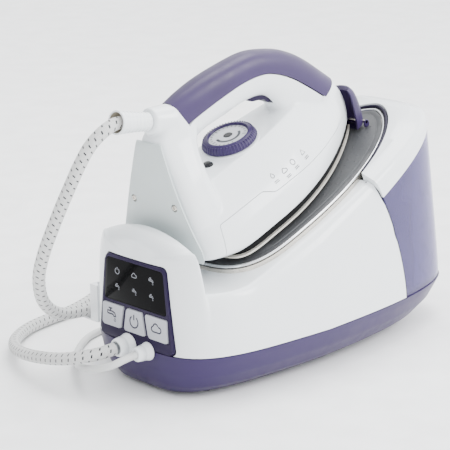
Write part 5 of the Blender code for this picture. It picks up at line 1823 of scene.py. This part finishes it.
@dataclass(frozen=True)
class NoseLatch:
    """The transport latch over the iron's nose, and its bracket."""

    pivot: Flat = (0.2145, 0.002)
    wall: float = 0.0036
    tips: Table = (  # foremost x, reach of the arms, half width, height
        (0.0034, 0.0165, 0.0135, -0.0016), (0.005, 0.017, 0.0142, 0.002), (0.0056, 0.0165, 0.0142, 0.012),
        (0.0048, 0.014, 0.0135, 0.025), (0.0022, 0.0105, 0.0125, 0.0355), (-0.0012, 0.008, 0.0108, 0.0412),
    )

    def build(self) -> None:
        """Makes the pieces."""
        rings = []
        for k in range(31):
            tip, arm, half, z = table_at(self.tips, k / 30)
            ends = min(1.0, 0.55 + k * 0.15, 0.55 + (30 - k) * 0.15)
            rings.append([(x, y, z) for x, y in self.horseshoe(tip, arm, half, self.wall * ends)])
        place = SHAPE.iron_frame @ shifted((self.pivot[0], 0, self.pivot[1]))
        add("latch", loft(rings), GRIP, Body.LATCH, "nose_latch", place=place, sharp=50)
        pin = lathe([(0, -0.0152), (0.0016, -0.0152), (0.0016, 0.0152), (0, 0.0152)], 24)
        pin.transform(Matrix.Rotation(math.pi / 2, 4, "X"))
        add("pin", pin, STEEL, Body.BASE, "latch_pin", place=place)
        for side in (-1, 1):
            ear = prism(rounded([(-0.0038, -0.0052), (0.0032, -0.0052), (0.0024, 0.0022), (-0.0024, 0.0022)],
                                0.0024), -0.0152, -0.0136, 0.0004)
            turn = Matrix(((1, 0, 0, 0), (0, 0, side, 0), (0, 1, 0, 0), (0, 0, 0, 1)))
            name = "bracket_" + ("left" if side < 0 else "right")
            add(name, ear, PURPLE, Body.BASE, *(["latch_bracket"] if side > 0 else []), place=place @ turn)

    @staticmethod
    def horseshoe(tip: float, arm: float, half: float, thickness: float) -> list[Flat]:
        """A mirrored crescent in plan that opens towards the iron.

        Args:
            tip: its foremost x.
            arm: how far its arms reach back.
            half: half its width outside.
            thickness: its wall.

        Returns:
            The outline, out along one side and back along the other.
        """
        back = tip - arm
        outer, inner, count = [], [], 17
        for k in range(count):
            a = math.pi * k / (count - 1) - math.pi / 2
            outer.append((back + arm * math.cos(a) ** 0.75, half * math.sin(a)))
            inner.append((back + (arm - thickness) * max(0.0, math.cos(a)) ** 0.75,
                          (half - thickness * 0.6) * math.sin(a)))
        half_outer, half_inner = outer[:count // 2 + 1], inner[:count // 2 + 1]
        right = half_inner[::-1] + half_outer
        left = [(x, -y) for x, y in reversed(right)]
        return right + left


@dataclass(frozen=True)
class CoilShape:
    """A stored coil on the floor."""

    centre: Flat
    level: float
    rise: float


@dataclass(frozen=True)
class SteamHose:
    """The braided hose from the iron's sleeve, down to the hook, through its coil and back to the panel."""

    diameter: float = 0.012
    coil: CoilShape = CoilShape((0.154, 0.195), 0.0062, 0.012)
    coil_radius: float = 0.06
    upper: Table = ((-0.2055, 0.0, 0.2566), (-0.212, 0.0, 0.2568), (-0.2176, 0.0, 0.256),
                    (-0.2285, 0.001, 0.251), (-0.2385, 0.006, 0.24), (-0.2455, 0.012, 0.2245),
                    (-0.2505, 0.02, 0.205), (-0.2545, 0.03, 0.183), (-0.258, 0.04, 0.16),
                    (-0.2595, 0.052, 0.135), (-0.256, 0.065, 0.108), (-0.242, 0.077, 0.079),
                    (-0.217, 0.0858, 0.06), (-0.189, 0.0896, 0.0543), (-0.163, 0.0891, 0.0536),
                    (-0.14, 0.095, 0.049), (-0.115, 0.1015, 0.039), (-0.085, 0.1065, 0.026),
                    (-0.05, 0.1095, 0.0145), (-0.01, 0.1105, 0.0075), (0.03, 0.115, 0.0062),
                    (0.07, 0.127, 0.0062), (0.1, 0.1345, 0.0062), (0.1156, 0.135, 0.0062))
    lower: Table = ((0.1156, 0.255, 0.018), (0.095, 0.2548, 0.013), (0.065, 0.2535, 0.0066),
                    (0.03, 0.2505, 0.0062), (-0.01, 0.244, 0.0062), (-0.045, 0.233, 0.0062),
                    (-0.075, 0.219, 0.0062), (-0.105, 0.209, 0.0062), (-0.135, 0.205, 0.0062),
                    (-0.163, 0.199, 0.0064), (-0.192, 0.183, 0.008), (-0.218, 0.157, 0.0115),
                    (-0.236, 0.124, 0.0165), (-0.245, 0.085, 0.0235), (-0.2455, 0.048, 0.031),
                    (-0.238, 0.0225, 0.038), (-0.228, 0.012, 0.0413), (-0.2205, 0.0102, 0.0423),
                    (-0.2152, 0.01, 0.0425))

    def route(self) -> list[Vector]:
        """The whole centre line, from the sleeve to the socket."""
        turns = []
        for k in range(0, 541, 15):
            share = ease((k - 225) / 95)
            angle = math.radians(k - 90)
            turns.append((self.coil.centre[0] + self.coil_radius * math.cos(angle),
                          self.coil.centre[1] + self.coil_radius * math.sin(angle),
                          self.coil.level + self.coil.rise * share))
        return catmull([*self.upper, *turns, *self.lower], 0.004)

    def build(self) -> None:
        """Makes the hose."""
        route = self.route()
        hose = piece("hose", tube(route, self.diameter / 2, 28), BRAID, sharp=60)
        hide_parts("hose_upper", "hose_coil", "hose_lower")
        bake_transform(hose)


@dataclass(frozen=True)
class MainsLead:
    """The mains lead from the panel under the hose to its coil, and its moulded plug."""

    diameter: float = 0.007
    coil: CoilShape = CoilShape((-0.01, 0.176), 0.0037, 0.0072)
    pitch: float = 0.0073
    outer: float = 0.0525
    plug_foot: tuple[float, ...] = (0.0648, 0.1703, 0.0188)
    out: Table = ((-0.21, -0.017, 0.0425), (-0.2132, -0.017, 0.0425), (-0.2185, -0.0169, 0.0422),
                  (-0.226, -0.0155, 0.0407), (-0.234, -0.01, 0.0365), (-0.2385, 0.003, 0.0315),
                  (-0.237, 0.02, 0.0262), (-0.23, 0.038, 0.0212), (-0.22, 0.056, 0.016),
                  (-0.2075, 0.075, 0.0105), (-0.1925, 0.094, 0.0062), (-0.176, 0.111, 0.0042),
                  (-0.157, 0.127, 0.0037), (-0.137, 0.139, 0.0037), (-0.117, 0.144, 0.0037),
                  (-0.093, 0.141, 0.0037), (-0.07, 0.133, 0.0037), (-0.05, 0.126, 0.0037),
                  (-0.0374, 0.1235, 0.0037))
    end: Table = ((0.0336, 0.1362, 0.0107), (0.043, 0.1385, 0.0113), (0.053, 0.144, 0.013),
                  (0.061, 0.154, 0.016), (0.0645, 0.164, 0.0184), (0.0648, 0.1694, 0.0188),
                  (0.0648, 0.1725, 0.0188))

    def route(self) -> list[Vector]:
        """The whole centre line, from the socket to the plug."""
        turns = []
        inner = self.outer - 3 * self.pitch
        for k in range(0, 1816, 12):
            angle = math.radians(k - 90)
            if k <= 1080:
                radius = self.outer - self.pitch * k / 360
            else:
                radius = max(inner, inner + self.pitch * (k - 1110) / 360)
            rise = self.coil.rise * ease((k - 1045) / 85)
            turns.append((self.coil.centre[0] + radius * math.cos(angle),
                          self.coil.centre[1] + radius * math.sin(angle), self.coil.level + rise))
        return catmull([*self.out, *turns, *self.end], 0.003)

    def build(self) -> None:
        """Makes the lead and its plug."""
        self.plug()
        route = self.route()
        lead = piece("lead_cord", tube(route, self.diameter / 2, 18), LEAD, sharp=60)
        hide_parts("lead", "lead_coil", "lead_end")
        settle(lead, Body.BASE, LEAD)

    def plug(self) -> None:
        """A generic round two-pin plug with a ribbed neck."""
        profile = [(0, 0.0), (0.0052, 0.0)]
        for k in range(4):
            z = 0.0015 + k * 0.0026
            profile += [(0.0054 + k * 0.0003, z), (0.0054 + k * 0.0003, z + 0.0014),
                        (0.0046 + k * 0.0003, z + 0.0016), (0.0046 + k * 0.0003, z + 0.0024)]
        profile += [(0.0068, 0.0125), (0.011, 0.0175), (0.015, 0.0225), (0.018, 0.0285), (0.0186, 0.031),
                    (0.0186, 0.0388), (0.0176, 0.04), (0, 0.04)]
        place = shifted(self.plug_foot) @ Matrix.Rotation(-math.pi / 2, 4, "X")
        add("plug_body", lathe(profile, 56), LEAD, Body.BASE, "plug", place=place)
        pin = lathe([(0, 0.0395), (0.0024, 0.0395), (0.0024, 0.0575), (0.0016, 0.059), (0, 0.059)], 24)
        for side in (-1, 1):
            copy = pin.copy()
            copy.transform(shifted((side * 0.0095, 0, 0)))
            add(f"pin_{'left' if side < 0 else 'right'}", copy, BRASS, Body.BASE, place=place)
        pin.free()


@dataclass(frozen=True)
class Studio:
    """The camera, the pale floor and the soft lights."""

    azimuth: float = -0.76827
    elevation: float = 0.27611
    distance: float = 1.7667
    target: tuple[float, ...] = (-0.05712, 0.02387, 0.12648)
    roll: float = 0.01012
    lens: float = 145.08
    bright_side: tuple[float, ...] = (0.62, -0.42, 0.66)
    dim: float = 0.22
    bright: float = 4.2
    aim: tuple[float, ...] = (0.0, 0.0, 0.12)

    def build(self) -> None:
        """Makes them."""
        self.camera()
        self.floor()
        self.lights()

    def camera(self) -> None:
        """A long lens at the viewing angle."""
        a, e = self.azimuth, self.elevation
        back = Vector((math.sin(a) * math.cos(e), -math.cos(a) * math.cos(e), math.sin(e)))
        right = Vector((math.cos(a), math.sin(a), 0))
        up = back.cross(right)
        c, s = math.cos(self.roll), math.sin(self.roll)
        axes = Matrix((c * right - s * up, s * right + c * up, back)).transposed().to_4x4()
        axes.translation = Vector(self.target) + back * self.distance
        data = bpy.data.cameras.new("camera")
        data.lens, data.sensor_width, data.clip_start = self.lens, 36.0, 0.05
        camera = bpy.data.objects.new("camera", data)
        camera.matrix_world = axes
        linked(camera)
        bpy.context.scene.camera = camera

    def floor(self) -> None:
        """A wide pale floor."""
        bm = bmesh.new()
        bmesh.ops.create_grid(bm, x_segments=1, y_segments=1, size=12)
        floor = piece("floor", bm, Finish("pale floor", "", (0.95, 0.95, 0.95), 0.6, grain=0.0))

    def lights(self) -> None:
        """A bright studio all round, brightest from above and to the right, with three soft lights in it."""
        world = bpy.data.worlds.new("studio")
        world.use_nodes = True
        nodes = NodeWriter(world.node_tree)
        way = nodes.node("ShaderNodeTexCoord").outputs["Generated"]
        facing = nodes.node("ShaderNodeVectorMath", {0: way, 1: self.bright_side}, operation="DOT_PRODUCT")
        strength = nodes.ramp(facing.outputs["Value"], -0.55, 0.9, self.dim, self.bright)
        back = world.node_tree.nodes["Background"]
        back.inputs["Color"].default_value = (0.97, 0.985, 1.0, 1.0)
        world.node_tree.links.new(strength, back.inputs["Strength"])
        bpy.context.scene.world = world
        for name, place, size, power in (("key", (1.0, -1.5, 1.3), 0.8, 26),
                                         ("top", (0.6, 0.2, 1.9), 1.0, 22),
                                         ("side", (-1.5, -0.4, 0.5), 0.4, 2)):
            data = bpy.data.lights.new(name, "AREA")
            data.shape, data.size, data.energy = "SQUARE", size, power
            light = bpy.data.objects.new(name, data)
            light.location = place
            light.rotation_euler = (Vector(self.aim) - Vector(place)).to_track_quat("-Z", "Y").to_euler()
            linked(light)


CARRIED = {  # finishes of the CAD nodes that stay as they are
    RUBBER: ("foot_front_left", "foot_front_right", "foot_rear_left", "foot_rear_right", "inlet_pipe",
             "feed_pipe", "steam_pipe"),
    PURPLE: ("bay_wall", "tank_shelf"),
    STEEL: ("boiler", "steam_chamber_cover"),
    CAST: ("heater_casting", "heating_element"),
    BRASS: ("solenoid_valve", "thermostat", "tank_valve"),
    BOARD: ("power_board", "display_board"),
    BLACK: ("pump", "microswitch"),
}


def dress_carried() -> None:
    """Gives the CAD nodes that stay visible their finishes."""
    for finish, names in CARRIED.items():
        for name in names:
            node = bpy.data.objects[name]
            for slot in node.material_slots:
                slot.material = finish.material()
            LOG.info("%s keeps its CAD mesh in %s", name, finish.name)


def main() -> None:
    """Builds the scene."""
    logging.basicConfig(level=logging.INFO, format="%(message)s")
    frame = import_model()
    LOG.info("%d entries in the frame", len(frame))
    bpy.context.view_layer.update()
    dress_carried()
    scatter = Scatter()
    BaseShell().build()
    ControlPanel().build()
    IronRest(scatter).build()
    WaterTank().build()
    iron = Iron(scatter)
    iron.build()
    IronControls(iron, scatter).build()
    NoseLatch().build()
    SteamHose().build()
    MainsLead().build()
    Studio().build()


if __name__ == "__main__":
    main()
